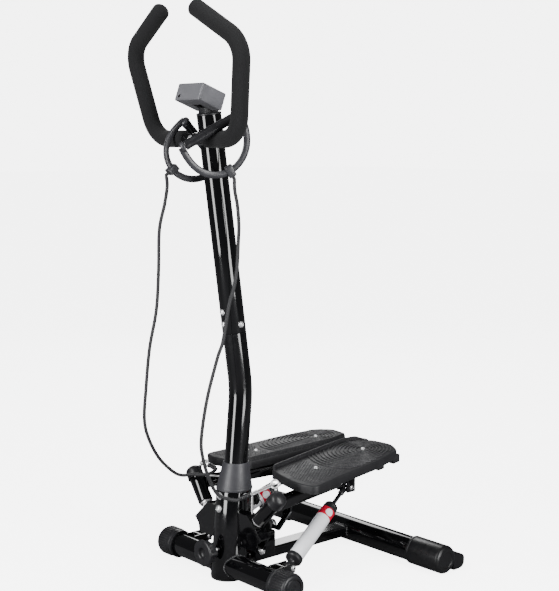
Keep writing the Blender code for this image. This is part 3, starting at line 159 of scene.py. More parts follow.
class Nodes:
    """Short names for building a node tree."""

    def __init__(self, name):
        self.mat = bpy.data.materials.new(name)
        self.mat.use_nodes = True
        self.tree = self.mat.node_tree
        self.shader = self.tree.nodes["Principled BSDF"]
        self.where = self.add("ShaderNodeTexCoord").outputs["Object"]

    def add(self, kind, **values):
        node = self.tree.nodes.new(kind)
        for key, value in values.items():
            if hasattr(node, key):
                setattr(node, key, value)
            else:
                node.inputs[key.replace("_", " ")].default_value = value
        return node

    def link(self, source, target):
        self.tree.links.new(source, target)

    def noise(self, scale, detail=3.0, roughness=0.55, stretch=None):
        node = self.add("ShaderNodeTexNoise", Scale=scale, Detail=detail, Roughness=roughness)
        if stretch:
            mapping = self.add("ShaderNodeMapping", Scale=stretch)
            self.link(self.where, mapping.inputs["Vector"])
            self.link(mapping.outputs["Vector"], node.inputs["Vector"])
        else:
            self.link(self.where, node.inputs["Vector"])
        return node.outputs["Fac"]

    def cells(self, scale, feature='F1'):
        node = self.add("ShaderNodeTexVoronoi", Scale=scale)
        node.feature = feature
        self.link(self.where, node.inputs["Vector"])
        return node.outputs["Distance"]

    def remap(self, value, low, high, out_low, out_high):
        node = self.add("ShaderNodeMapRange")
        for key, number in zip(("From Min", "From Max", "To Min", "To Max"), (low, high, out_low, out_high)):
            node.inputs[key].default_value = number
        self.link(value, node.inputs["Value"])
        return node.outputs["Result"]

    def mix(self, share, first, second):
        """Colour mix; the ends are colours or sockets."""
        node = self.add("ShaderNodeMix")
        node.data_type = 'RGBA'
        for key, end in (("A", first), ("B", second)):
            socket = [s for s in node.inputs if s.name == key and s.type == 'RGBA'][0]
            if isinstance(end, tuple):
                socket.default_value = (*end, 1.0)
            else:
                self.link(end, socket)
        factor = [s for s in node.inputs if s.name == "Factor" and s.type == 'VALUE'][0]
        if isinstance(share, float):
            factor.default_value = share
        else:
            self.link(share, factor)
        return [s for s in node.outputs if s.type == 'RGBA'][0]

    def bump(self, height, strength, distance, under=None):
        node = self.add("ShaderNodeBump", Strength=strength, Distance=distance)
        self.link(height, node.inputs["Height"])
        if under:
            self.link(under, node.inputs["Normal"])
        return node.outputs["Normal"]

    def finish(self, colour, rough, normal=None, metallic=0.0, coat=0.0, sheen=0.0, specular=0.5):
        shader = self.shader.inputs
        if isinstance(colour, tuple):
            shader["Base Color"].default_value = (*colour, 1.0)
        else:
            self.link(colour, shader["Base Color"])
        if isinstance(rough, float):
            shader["Roughness"].default_value = rough
        else:
            self.link(rough, shader["Roughness"])
        if normal:
            self.link(normal, shader["Normal"])
        shader["Metallic"].default_value = metallic
        shader["Coat Weight"].default_value = coat
        shader["Coat Roughness"].default_value = 0.06
        shader["Sheen Weight"].default_value = sheen
        shader["Specular IOR Level"].default_value = specular
        return self.mat


def shades(colour, amount):
    """The colour made darker and paler by this share."""
    darker = tuple(c * (1 - amount) for c in colour)
    lighter = tuple(min(1.0, c * (1 + amount)) for c in colour)
    return darker, lighter


def plain_surface(name, colour, rough, vary, blotch, smudge, grain, depth, strength, wear=None, **rest):
    """Moulded or painted surface: soft colour change, smudged gloss, fine grain and paler edges."""
    n = Nodes(name)
    dark, light = shades(colour, vary)
    patches = n.remap(n.noise(blotch, 5.0), 0.3, 0.7, 0.0, 1.0)
    tone = n.mix(patches, dark, light)
    gloss = n.remap(n.noise(blotch * 2.3, 4.0), 0.3, 0.7, max(0.02, rough - smudge), rough + smudge)
    if wear:
        edge = n.add("ShaderNodeNewGeometry").outputs["Pointiness"]
        scuffs = n.remap(n.noise(blotch * 12.0, 2.0), 0.45, 0.75, 0.0, 1.0)
        worn = n.add("ShaderNodeMath", operation='MULTIPLY')
        n.link(n.remap(edge, 0.535, 0.60, 0.0, 1.0), worn.inputs[0])
        n.link(scuffs, worn.inputs[1])
        tone = n.mix(worn.outputs["Value"], tone, wear)
    normal = n.bump(n.noise(grain, 2.0), strength, depth)
    return n.finish(tone, gloss, normal, **rest)


def foam_surface(name, colour):
    """Closed-cell foam: small cells, faint mottling and a soft sheen."""
    n = Nodes(name)
    dark, light = shades(colour, 0.35)
    mottle = n.remap(n.noise(900.0, 4.0), 0.35, 0.65, 0.0, 1.0)
    tone = n.mix(mottle, dark, light)
    pores = n.bump(n.cells(1500.0), 0.6, 0.00025)
    normal = n.bump(n.noise(140.0, 4.0), 0.25, 0.0010, pores)
    return n.finish(tone, 0.93, normal, sheen=0.06, specular=0.20)


def brushed_surface(name, colour, rough, metallic=1.0, stretch=(1.0, 1.0, 0.05), scale=900.0):
    """Plated or brushed metal: fine lines, faint staining."""
    n = Nodes(name)
    dark, light = shades(colour, 0.16)
    stain = n.remap(n.noise(60.0, 5.0), 0.3, 0.7, 0.0, 1.0)
    lines = n.noise(scale, 3.0, stretch=stretch)
    gloss = n.remap(lines, 0.3, 0.7, max(0.03, rough - 0.07), rough + 0.10)
    return n.finish(n.mix(stain, dark, light), gloss, n.bump(lines, 0.18, 0.0001), metallic)


def braid_surface(name, colour):
    """Woven sleeve of a stretch cord: two crossing sets of strands, with painted shade in the grooves between
    them and paler strand tops.
    """
    n = Nodes(name)
    dark, light = shades(colour, 0.45)
    heights = []
    for tilt in ((1.0, 1.0, 1.3), (1.0, 1.0, -1.3)):
        wave = n.add("ShaderNodeTexWave", Scale=260.0, Distortion=0.6, Detail=1.0)
        wave.bands_direction = 'DIAGONAL'
        mapping = n.add("ShaderNodeMapping", Scale=tilt)
        n.link(n.where, mapping.inputs["Vector"])
        n.link(mapping.outputs["Vector"], wave.inputs["Vector"])
        heights.append(wave.outputs["Fac"])
    both = n.add("ShaderNodeMath", operation='MAXIMUM')
    n.link(heights[0], both.inputs[0])
    n.link(heights[1], both.inputs[1])
    # painted shade: the colour is darker where the weave is low, between the strands, and paler on the strand
    # tops
    tone = n.mix(n.remap(both.outputs["Value"], 0.2, 1.0, 0.0, 1.0), dark, light)
    return n.finish(tone, 0.62, n.bump(both.outputs["Value"], 0.5, 0.0004), sheen=0.1)


# Colour, roughness, colour change, blotch scale, smudge, grain scale, its depth and strength, and the rest
PLAIN_LOOKS = {
    "black_paint": ((0.0022, 0.0022, 0.0026), 0.09, 0.20, 14.0, 0.035, 480.0, 0.00008, 0.06,
                    {"coat": 0.6, "wear": (0.022, 0.022, 0.024)}),
    "grey_plastic": ((0.038, 0.038, 0.043), 0.43, 0.12, 40.0, 0.06, 1700.0, 0.00012, 0.30,
                     {"wear": (0.09, 0.09, 0.095)}),
    "cap_plastic": ((0.012, 0.012, 0.0135), 0.38, 0.18, 45.0, 0.08, 1600.0, 0.00014, 0.35,
                    {"wear": (0.06, 0.06, 0.063)}),
    "tread_plastic": ((0.015, 0.015, 0.0165), 0.52, 0.14, 30.0, 0.07, 1500.0, 0.00016, 0.40,
                      {"specular": 0.35, "wear": (0.055, 0.055, 0.058)}),
    "foot_plastic": ((0.0055, 0.0055, 0.0062), 0.34, 0.18, 45.0, 0.08, 1600.0, 0.00012, 0.35,
                     {"wear": (0.03, 0.03, 0.032)}),
    "rubber": ((0.016, 0.016, 0.017), 0.70, 0.25, 60.0, 0.08, 1200.0, 0.0002, 0.4, {}),
    "white_paint": ((0.91, 0.92, 0.95), 0.27, 0.02, 25.0, 0.06, 700.0, 0.00008, 0.12, {"coat": 0.25}),
    "red_label": ((0.56, 0.005, 0.030), 0.30, 0.10, 60.0, 0.05, 800.0, 0.00006, 0.15, {}),
    "silver_plastic": ((0.155, 0.155, 0.168), 0.36, 0.07, 30.0, 0.05, 1900.0, 0.00010, 0.30,
                       {"metallic": 0.30, "wear": (0.32, 0.32, 0.33)}),
    "screen": ((0.085, 0.105, 0.090), 0.10, 0.10, 20.0, 0.03, 300.0, 0.00002, 0.05, {"coat": 0.8}),
    "digits": ((0.012, 0.014, 0.012), 0.25, 0.10, 60.0, 0.04, 1400.0, 0.00008, 0.35, {}),
    "grip_plastic": ((0.012, 0.012, 0.0135), 0.27, 0.20, 50.0, 0.05, 500.0, 0.0001, 0.10, {"coat": 0.4}),
    "strap_plastic": ((0.036, 0.036, 0.040), 0.30, 0.18, 70.0, 0.08, 1500.0, 0.00015, 0.4,
                      {"wear": (0.09, 0.09, 0.095)}),
    "weld": ((0.020, 0.020, 0.022), 0.20, 0.30, 150.0, 0.08, 420.0, 0.0012, 0.8, {"coat": 0.3}),
}
MATERIALS = {name: plain_surface(name, *row[:-1], **row[-1]) for name, row in PLAIN_LOOKS.items()}
MATERIALS["foam"] = foam_surface("foam", (0.010, 0.010, 0.0107))
MATERIALS["cord"] = braid_surface("cord", (0.014, 0.014, 0.0155))
MATERIALS["chrome"] = brushed_surface("chrome", (0.80, 0.80, 0.81), 0.10, scale=500.0)
MATERIALS["zinc"] = brushed_surface("zinc", (0.86, 0.86, 0.87), 0.30, 0.80)
MATERIALS["cable"] = brushed_surface("cable", (0.50, 0.50, 0.51), 0.34, stretch=(1.0, 1.0, 1.0), scale=2600.0)


# ---------------------------------------------------------------- pieces and shapes

def dress(obj, look, replaces=(), body=FRAME):
    """Material, body and the CAD nodes that a piece stands for."""
    obj.data.materials.clear()
    obj.data.materials.append(MATERIALS[look])
    if body:
        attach(obj, body)
    if replaces:
        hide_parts(*([replaces] if isinstance(replaces, str) else replaces))
    return obj


def mesh_piece(name, bm, angle=SMOOTH_ANGLE, outward=True):
    """Object from a mesh, smooth but for edges sharper than the angle; outward turns its faces out."""
    if outward:
        bmesh.ops.recalc_face_normals(bm, faces=bm.faces)
    mesh = bpy.data.meshes.new(name)
    bm.to_mesh(mesh)
    bm.free()
    mesh.shade_smooth()
    mesh.set_sharp_from_angle(angle=math.radians(angle))
    obj = bpy.data.objects.new(name, mesh)
    bpy.context.scene.collection.objects.link(obj)
    return obj


def skin(bm, rings):
    """Quads from each ring of vertices to the next."""
    for a, b in zip(rings, rings[1:]):
        for k in range(len(a)):
            j = (k + 1) % len(a)
            bm.faces.new((a[k], a[j], b[j], b[k]))


def close_ends(bm, rings):
    """Flat faces on the first and the last ring."""
    bm.faces.new(rings[0])
    bm.faces.new(list(reversed(rings[-1])))


def arc_points(centre, across, upward, start=0.0, stop=TURN, steps=16):
    """Points from one angle to another on the ellipse with these two half axes."""
    angles = [start + (stop - start) * k / steps for k in range(steps + 1)]
    return [centre + across * math.cos(angle) + upward * math.sin(angle) for angle in angles]


def loop_points(centre, across, upward, steps):
    """The whole ellipse, without the doubled last point."""
    return arc_points(centre, across, upward, steps=steps)[:-1]


def corner_curve(start, corner, end, steps):
    """Curve from start to end that bends at the corner."""
    shares = [k / steps for k in range(steps + 1)]
    return [start * (1 - t) ** 2 + corner * (2 * t * (1 - t)) + end * t * t for t in shares]


def frame_along(direction):
    """Turn that takes +Z to this direction."""
    return Vector(direction).to_track_quat('Z', 'Y').to_matrix().to_4x4()


def soften(profile, radius, closed=False, steps=3):
    """Replace each corner of a profile by a small curve."""
    points = [Vector(p) for p in profile]
    count = len(points)
    out = []
    for i, here in enumerate(points):
        if not closed and i in (0, count - 1):
            out.append(here)
            continue
        before, after = points[i - 1], points[(i + 1) % count]
        one, two = before - here, after - here
        if one.length < 1e-7 or two.length < 1e-7 or math.pi - one.angle(two) < math.radians(14):
            out.append(here)
            continue
        cut = min(radius, one.length * 0.45, two.length * 0.45)
        out += corner_curve(here + one.normalized() * cut, here, here + two.normalized() * cut, steps)
    return out


def lathe(name, profile, origin, direction, sides=64, radius=0.0006, closed=False):
    """Turned piece; the profile is (radius, height), open at the axis or closed into a ring."""
    bm = bmesh.new()
    rings = []
    for r, h in soften(profile, radius, closed):
        spots = loop_points(Vector((0, 0, h)), Vector((r, 0, 0)), Vector((0, r, 0)), sides)
        rings.append([bm.verts.new(spot) for spot in (spots if r > 1e-6 else spots[:1])])
    for a, b in zip(rings, rings[1:] + (rings[:1] if closed else [])):
        for i in range(sides):
            j = (i + 1) % sides
            corners = [a[i % len(a)], a[j % len(a)], b[j % len(b)], b[i % len(b)]]
            corners = [c for k, c in enumerate(corners) if c not in corners[:k]]
            if len(corners) > 2:
                bm.faces.new(corners)
    bmesh.ops.transform(bm, matrix=Matrix.Translation(origin) @ frame_along(direction), verts=bm.verts)
    return mesh_piece(name, bm)


def pipe(name, start, end, outer, inner, sides=72, radius=0.0008):
    """Tube from start to end with these two radii."""
    start, end = Vector(start), Vector(end)
    length = (end - start).length
    profile = [(outer, 0.0), (outer, length), (inner, length), (inner, 0.0)]
    return lathe(name, profile, start, end - start, sides, radius, True)


def rod(name, start, end, radius, sides=32, round_edge=0.0006):
    """Solid round bar from start to end."""
    start, end = Vector(start), Vector(end)
    length = (end - start).length
    profile = [(0, 0), (radius, 0), (radius, length), (0, length)]
    return lathe(name, profile, start, end - start, sides, round_edge)


def sweep(name, path, radius, sides=32, cyclic=False, flat=1.0, up=None, round_ends=0.0, taper=None):
    """Round or flattened bar along a path. round_ends curves the ends over that length."""
    path = [Vector(p) for p in path]
    count = len(path)
    guide = Vector(up or (0.1, 0.2, 0.97))
    stations = []
    for i, point in enumerate(path):
        ahead = path[(i + 1) % count if cyclic else min(i + 1, count - 1)]
        behind = path[i - 1 if cyclic else max(i - 1, 0)]
        tangent = (ahead - behind).normalized()
        if up or i == 0:
            side = tangent.cross(guide)
        side = (side - tangent * side.dot(tangent)).normalized()
        stations.append((point, tangent, side, radius * (taper(i / (count - 1)) if taper else 1.0)))
    if round_ends:
        caps = []
        for (point, tangent, side, size), sign in ((stations[0], -1), (stations[-1], 1)):
            angles = [math.pi / 2 * k / 6.5 for k in range(1, 7)]
            caps.append([(point + tangent * (sign * round_ends * math.sin(angle)), tangent, side,
                          size * math.cos(angle)) for angle in angles])
        stations = caps[0][::-1] + stations + caps[1]
    bm = bmesh.new()
    rings = []
    for point, tangent, side, size in stations:
        spots = loop_points(point, side * size, tangent.cross(side) * (size * flat), sides)
        rings.append([bm.verts.new(spot) for spot in spots])
    skin(bm, rings + rings[:1] if cyclic else rings)
    if not cyclic:
        close_ends(bm, rings)
    return mesh_piece(name, bm)


def bevelled(obj, width, segments=3, angle=30.0):
    """Round the edges sharper than the angle."""
    modifier = obj.modifiers.new("edges", 'BEVEL')
    modifier.width = width
    modifier.segments = segments
    modifier.limit_method = 'ANGLE'
    modifier.angle_limit = math.radians(angle)
    modifier.harden_normals = False
    return obj


def block(name, size, centre, rotation=None, edge=0.0015, segments=3):
    bm = bmesh.new()
    bmesh.ops.create_cube(bm, size=1.0)
    turn = rotation if rotation else Matrix.Identity(4)
    bmesh.ops.transform(bm, matrix=Matrix.Translation(centre) @ turn @ Matrix.Diagonal((*size, 1.0)),
                        verts=bm.verts)
    return bevelled(mesh_piece(name, bm), edge, segments)


def slab(name, outline, bottom, top, matrix, edge, segments):
    """Outline in XY raised from bottom to top, set in place by a matrix."""
    bm = bmesh.new()
    rings = [[bm.verts.new((x, y, z)) for x, y in outline] for z in (bottom, top)]
    close_ends(bm, rings)
    skin(bm, rings)
    bmesh.ops.transform(bm, matrix=matrix, verts=bm.verts)
    return bevelled(mesh_piece(name, bm), edge, segments)


def bake(obj):
    """Apply the modifiers to the mesh."""
    bpy.context.view_layer.update()
    graph = bpy.context.evaluated_depsgraph_get()
    mesh = bpy.data.meshes.new_from_object(obj.evaluated_get(graph))
    obj.modifiers.clear()
    obj.data = mesh
    return obj


def merged(name, *objs):
    """One piece from several shapes."""
    bm = bmesh.new()
    for obj in objs:
        bake(obj)
        bm.from_mesh(obj.data)
        bpy.data.objects.remove(obj, do_unlink=True)
    return mesh_piece(name, bm, outward=False)


def carved(obj, *cutters):
    """Cut shapes out of a piece."""
    for cutter in cutters:
        modifier = obj.modifiers.new("cut", 'BOOLEAN')
        modifier.operation = 'DIFFERENCE'
        modifier.solver = 'EXACT'
        modifier.object = cutter
    bake(obj)
    for cutter in cutters:
        bpy.data.objects.remove(cutter, do_unlink=True)
    obj.data.shade_smooth()
    obj.data.set_sharp_from_angle(angle=math.radians(SMOOTH_ANGLE))
    return obj


def refined(name, node, look, edge, corner=0.0, thickness=0.0, body=FRAME):
    """Copy of a CAD node's shape with its edges rounded; corner rounds a plate's outline."""
    mesh = frame["nodes"][node].data.copy()
    bm = bmesh.new()
    bm.from_mesh(mesh)
    bmesh.ops.remove_doubles(bm, verts=bm.verts, dist=0.00002)
    bmesh.ops.dissolve_limit(bm, angle_limit=math.radians(1.0), verts=bm.verts, edges=bm.edges)
    if corner:
        short = [e for e in bm.edges if e.calc_length() < thickness and len(e.link_faces) == 2
                 and e.calc_face_angle() > math.radians(20.0)]
        bmesh.ops.bevel(bm, geom=short, offset=corner, segments=4, profile=0.5, affect='EDGES',
                        clamp_overlap=True)
    bpy.data.meshes.remove(mesh)
    return dress(bevelled(mesh_piece(name, bm), edge, 2), look, node, body)


def mirrored(point, side):
    """The point of the right side, or its mirror image on the left."""
    return Vector((point[0] * side, point[1], point[2]))


def post_axis(height):
    """Centre of the bent post at a height."""
    if height <= POST_BEND_Z:
        return Vector((0.0, BASE_Y + BASE_SHEAR * height, height))
    bend_y = BASE_Y + BASE_SHEAR * POST_BEND_Z
    return Vector((0.0, bend_y - POST_LEAN * (height - POST_BEND_Z), height))


POST_UP = (post_axis(POST_TOP_Z) - post_axis(POST_SEAM_Z)).normalized()
POST_REAR = Vector((0, POST_UP.z, -POST_UP.y))


def lean(obj):
    """Shear an upright piece along the base tube's lean."""
    obj.data.transform(Matrix(((1, 0, 0, 0), (0, 1, BASE_SHEAR, BASE_Y), (0, 0, 1, 0), (0, 0, 0, 1))))
    return obj


def rounded_path(corners, radii, steps=18):
    """Straight runs joined by arcs of these radii."""
    corners = [Vector(corner) for corner in corners]
    path = [corners[0]]
    for i in range(1, len(corners) - 1):
        before = (corners[i - 1] - corners[i]).normalized()
        after = (corners[i + 1] - corners[i]).normalized()
        half_turn = (math.pi - before.angle(after)) / 2
        setback = radii[i - 1] * math.tan(half_turn)
        middle = (before + after).normalized()
        centre = corners[i] + middle * (radii[i - 1] / math.cos(half_turn))
        start = corners[i] + before * setback - centre
        end = corners[i] + after * setback - centre
        across = (end - start * math.cos(2 * half_turn)) / math.sin(2 * half_turn)
        path += arc_points(centre, start, across, 0.0, 2 * half_turn, steps)
    path.append(corners[-1])
    return path


def smooth_route(points, spacing):
    """Smooth line through the points, cut into steps of equal length."""
    points = [Vector(point) for point in points]
    ends = [2 * points[0] - points[1]] + points + [2 * points[-1] - points[-2]]
    dense = []
    for i in range(1, len(ends) - 2):
        p0, p1, p2, p3 = ends[i - 1:i + 3]
        for k in range(24):
            t = k / 24
            dense.append(0.5 * (2 * p1 + (p2 - p0) * t + (2 * p0 - 5 * p1 + 4 * p2 - p3) * t * t
                                + (3 * p1 - 3 * p2 + p3 - p0) * t ** 3))
    dense.append(points[-1])
    lengths = [0.0]
    for a, b in zip(dense, dense[1:]):
        lengths.append(lengths[-1] + (b - a).length)
    count = max(2, round(lengths[-1] / spacing))
    route = []
    index = 0
    for k in range(count + 1):
        target = lengths[-1] * k / count
        while index < len(dense) - 2 and lengths[index + 1] < target:
            index += 1
        step = lengths[index + 1] - lengths[index]
        share = (target - lengths[index]) / step if step else 0.0
        route.append(dense[index].lerp(dense[index + 1], min(1.0, share)))
    return route


def dome_bolt(name, seat, outward, head_r, body=FRAME, replaces=(), shank=0.008):
    """Domed bolt head with a round recess, on a short shank."""
    outward = Vector(outward).normalized()
    profile = [(0.0, 0.30 * head_r), (0.36 * head_r, 0.30 * head_r), (0.42 * head_r, 0.60 * head_r),
               (0.60 * head_r, 0.52 * head_r), (0.80 * head_r, 0.36 * head_r), (0.95 * head_r, 0.14 * head_r),
               (0.97 * head_r, GAP), (0.50 * head_r, GAP), (0.50 * head_r, -shank), (0.0, -shank)]
    return dress(lathe(name, profile, seat, outward, 48, 0.0005), "zinc", replaces, body=body)


# ---------------------------------------------------------------- stretch bands, made first

def along_pivot(distance, side):
    """Point on the pivot axis at this distance from its middle."""
    return mirrored(PIVOT + PIVOT_DIR * distance, side)


def cap_clock(side, clock):
    """Direction out of the sleeve cap's side: inward at angle 0, turning rearward."""
    axis = mirrored(PIVOT_DIR, side)
    inward = Vector((-side * PIVOT_DIR.z, 0, PIVOT_DIR.x))
    inward = (inward - axis * inward.dot(axis)).normalized()
    rearward = axis.cross(inward)
    if rearward.y < 0:
        rearward = -rearward
    return inward * math.cos(clock) + rearward * math.sin(clock)


def hook_frame(side):
    """Eye centre, the hook's direction and the direction square to the eye."""
    eye = along_pivot(EYE_ALONG, side) + cap_clock(side, CLOCKS[side]) * EYE_OFFSET
    along = (eye - Vector(CRIMPS[side])).normalized()
    normal = along.cross(cap_clock(side, CLOCKS[side])).normalized()
    return eye, along, normal


def handle_frame(side):
    """Middle of the grip, its direction, and the way from there to the handle's foot."""
    start, end, foot = (Vector(point) for point in HANDLES[side])
    middle = (start + end) / 2
    return middle, (end - start).normalized(), foot - middle


def cord_path(side, spacing):
    """Centre line from the handle block to the crimp, with a short straight part at both ends."""
    middle, _, drop = handle_frame(side)
    down = drop.normalized()
    foot = middle + drop + down * (HANDLE_BLOCK_HALF + GAP)
    away = hook_frame(side)[1]
    last = Vector(CRIMPS[side]) - away * GAP
    route = [foot + down * CORD_STRAIGHT, *ROUTES[side], last - away * CORD_STRAIGHT]
    return [foot] + smooth_route(route, spacing) + [last]


def stretch_cord(side_name, side):
    """Limp cord from the handle's block to the crimp."""
    path = cord_path(side, 0.0060)
    rope = sweep(f"stretch_cord_{side_name}", path, CORD_R, 20)
    dress(rope, "cord", f"band_cord_{side_name}", body=None)
    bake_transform(rope)


for side_name, side in SIDES:
    stretch_cord(side_name, side)


def ferrule(side_name, side):
    """Black crimp with pressed rings, and the snap hook through the eye."""
    eye, along, normal = hook_frame(side)
    crimp = Vector(CRIMPS[side])
    rings = [(0.0, 0.0), (0.0046, 0.0), (0.0056, 0.0010)]
    for k in range(3):
        z = 0.005 + 0.0055 * k
        rings += [(0.0056, z), (0.0050, z + 0.0007), (0.0050, z + 0.0018), (0.0056, z + 0.0025)]
    rings += [(0.0056, CRIMP_LENGTH - 0.0012), (0.0038, CRIMP_LENGTH), (0.0, CRIMP_LENGTH)]
    sleeve = lathe(f"cord_crimp_{side_name}", rings, crimp, along, 40, 0.0004)
    dress(sleeve, "cap_plastic", f"band_hook_{side_name}", body=UNIT[side])
    near = crimp + along * (CRIMP_LENGTH + 0.0015)
    reach, across = along * HOOK_HALF, normal * HOOK_HALF
    loop = arc_points(eye - reach, reach, across, -math.pi / 2, math.pi / 2)
    loop += arc_points(near + reach, reach, across, math.pi / 2, math.pi * 3 / 2)
    hook = sweep(f"snap_hook_{side_name}", loop, 0.0018, 20, cyclic=True)
    gate_start = near + along * 0.004 + across
    gate = rod("gate", gate_start, gate_start + along * 0.010, 0.0026, 20, 0.0005)
    swivel = rod("swivel", near - along * 0.003, near + along * 0.0020, 0.0036, 24)
    dress(merged(f"snap_hook_{side_name}", hook, gate, swivel), "zinc", body=UNIT[side])


def handle_band(side_name, side):
    """Flat band from end to end of the grip, joined to the cord by a block."""
    middle, along, drop = handle_frame(side)
    down = drop.normalized()
    square = along.cross(down).normalized()
    reach = along * (HANDLE_HALF + 0.0035)
    angles = [math.pi * k / 56 for k in range(57)]
    path = [middle + reach * math.cos(angle) + drop * math.sin(angle) ** 0.8 for angle in angles]
    band = sweep("band", path, 0.0072, 24, flat=0.46, up=square)
    foot = middle + drop
    turn = Matrix((along, square, down)).transposed().to_4x4()
    joint = block("joint", (0.0160, 0.0150, 0.0240), foot + down * 0.0005, turn, 0.0026, 4)
    collar = lathe("joint_collar", [(0.0, 0.0095), (0.0050, 0.0095), (0.0050, HANDLE_BLOCK_HALF),
                                    (0.0, HANDLE_BLOCK_HALF)], foot, down, 32, 0.0004)
    end_profile = [(0.0, 0.0), (0.0098, 0.0), (0.0104, 0.0014), (0.0104, 0.0052), (0.0090, 0.0080),
                   (0.0, 0.0086)]
    reach = HANDLE_HALF - 0.0030
    ends = [lathe("end", end_profile, middle + along * (sign * reach), along * sign, 40, 0.0010)
            for sign in (-1, 1)]
    core = rod("core", middle - along * HANDLE_HALF, middle + along * HANDLE_HALF, HANDLE_WIRE_R, 24)
    strap = merged(f"handle_band_{side_name}", band, joint, collar, core, *ends)
    dress(strap, "strap_plastic", f"band_strap_{side_name}")


def handle_grip(side_name, side):
    """Turning sleeve, a little thicker in the middle and flared at its ends."""
    middle, along, _ = handle_frame(side)
    half, bore = HANDLE_HALF - 0.004, HANDLE_WIRE_R + 0.001
    flare = [(0.0096, half), (0.0098, half - 0.003), (0.0090, half - 0.009)]
    swell = []
    for k in range(9):
        z = -half + 0.014 + k * (2 * half - 0.028) / 8
        swell.append((0.0092 + 0.0005 * math.sin(math.pi * k / 8), z))
    profile = [(bore, -half)] + [(r, -z) for r, z in flare] + swell + flare[::-1] + [(bore, half)]
    grip = lathe(f"handle_grip_{side_name}", profile, middle, along, 48, 0.0010, True)
    dress(grip, "grip_plastic", f"band_grip_{side_name}", body=f"grip_{side_name}")


for side_name, side in SIDES:
    ferrule(side_name, side)
    handle_band(side_name, side)
    handle_grip(side_name, side)


# ---------------------------------------------------------------- base

def weld_bead(name, path, radius=0.0020):
    """Bead with the small ripples of a run of weld."""
    fine = smooth_route(list(path), 0.0012)
    bead = sweep(name, fine, radius, 12, taper=lambda t: 1.0 + 0.22 * math.sin(t * len(fine) * 1.7))
    return dress(bead, "weld")


def stabilizer(name, y, z, radius, end):
    """Cross tube between two end caps."""
    half = end - CAP_END - GAP
    bar = pipe(f"stabilizer_{name}", (-half, y, z), (half, y, z), radius, radius - TUBE_WALL)
    dress(bar, "black_paint", f"{name}_stabilizer")


def column_welds():
    """Beads where the front stabilizer goes through the leaning base tube."""
    for side_name, side in SIDES:
        path = []
        for k in range(41):
            angle = TURN * k / 40
            y, z = FRONT_R * math.cos(angle), FRONT_Z + FRONT_R * math.sin(angle)
            x = math.sqrt(BASE_R ** 2 - (y - BASE_Y - BASE_SHEAR * z) ** 2)
            path.append(Vector((side * (x + 0.0008), y * 1.03, FRONT_Z + (z - FRONT_Z) * 1.03)))
        weld_bead(f"weld_front_{side_name}", path)


def floor_cutter(x, y):
    """Block below the floor line, to cut a round cap flat."""
    return block("floor", (0.14, 0.10, 0.02), (x, y, -0.01), edge=0.0001)


def front_foot(side_name, side):
    """Ribbed end cap with a rim and rings in its end face."""
    length = FRONT_CAP_OUT - FRONT_CAP_IN
    bore, depth = FRONT_R + GAP, length - CAP_END
    profile = [(0.0, length - 0.0022), (0.0075, length - 0.0022), (0.0085, length - 0.0010),
               (0.0185, length - 0.0010), (0.0192, length - 0.0024), (0.0206, length - 0.0024),
               (0.0213, length), (0.0262, length), (0.0290, length - 0.0012), (0.0305, length - 0.0040),
               (FRONT_CAP_R, length - 0.0075), (FRONT_CAP_R, 0.0100), (0.0298, 0.0092), (0.0298, 0.0078),
               (FRONT_CAP_R, 0.0070), (FRONT_CAP_R, 0.0), (bore, 0.0), (bore, depth), (0.0, depth)]
    cap = lathe("shell", profile, (side * FRONT_CAP_IN, 0, FRONT_Z), (side, 0, 0), 96)
    cap = carved(cap, floor_cutter(side * 0.19, 0.0))
    ribs = []
    for angle in (TURN * k / 36 for k in range(36)):
        if math.sin(angle) >= -0.90:
            out = Vector((0, math.cos(angle), math.sin(angle)))
            centre = Vector((side * (FRONT_CAP_IN + 0.0310), 0, FRONT_Z)) + out * (FRONT_CAP_R + 0.0001)
            spin = Matrix.Rotation(angle, 4, 'X')
            ribs.append(block("rib", (0.028, 0.0024, 0.0026), centre, spin, 0.0006, 2))
    dress(merged(f"foot_front_{side_name}", cap, *ribs), "cap_plastic", f"front_cap_{side_name}")


def rear_foot(side_name, side):
    """Round end cap with a wheel-like lobe behind it."""
    length = REAR_CAP_OUT - REAR_CAP_IN
    profile = [(0.0, length - 0.0015), (0.0180, length - 0.0015), (0.0190, length), (0.0250, length),
               (0.0292, length - 0.0022), (REAR_CAP_R, length - 0.0070), (REAR_CAP_R, 0.0085),
               (0.0306, 0.0078), (0.0306, 0.0062), (REAR_CAP_R, 0.0055), (REAR_CAP_R, 0.0),
               (REAR_R + GAP, 0.0), (REAR_R + GAP, length - CAP_END), (0.0, length - CAP_END)]
    cap = lathe("shell", profile, (side * REAR_CAP_IN, REAR_Y, REAR_Z), (side, 0, 0), 96)
    base = [(REAR_Y + 0.0290, 0.0400), (0.4200, 0.0355), (0.4300, 0.0310), (0.4345, 0.0250),
            (0.4345, 0.0110), (0.4300, 0.0035), (0.4200, 0.0), (REAR_Y + 0.0290, 0.0)]
    outline = [(p.x, p.y) for p in soften(base, 0.005, False, 5)]
    half = 0.015
    middle = side * (REAR_CAP_OUT - 0.004 - half)
    turn = Matrix(((0, 0, 1, middle), (1, 0, 0, 0), (0, 1, 0, 0), (0, 0, 0, 1)))
    lobe = slab("lobe", outline, -half, half, turn, 0.0025, 4)
    low, high = REAR_CAP_R - 0.001, REAR_CAP_R + 0.0007
    rings = [lathe("ring", [(low, -0.0015), (high, -0.0010), (high, 0.0010), (low, 0.0015)],
                   (side * (REAR_CAP_IN + 0.016 + 0.014 * k), REAR_Y, REAR_Z), (1, 0, 0), 96, 0.0004, True)
             for k in range(3)]
    cap = merged("cap", cap, *rings)
    cap = carved(cap, floor_cutter(side * 0.2525, REAR_Y))
    foot = merged(f"foot_rear_{side_name}", cap, lobe)
    dress(foot, "foot_plastic", f"rear_cap_{side_name}")


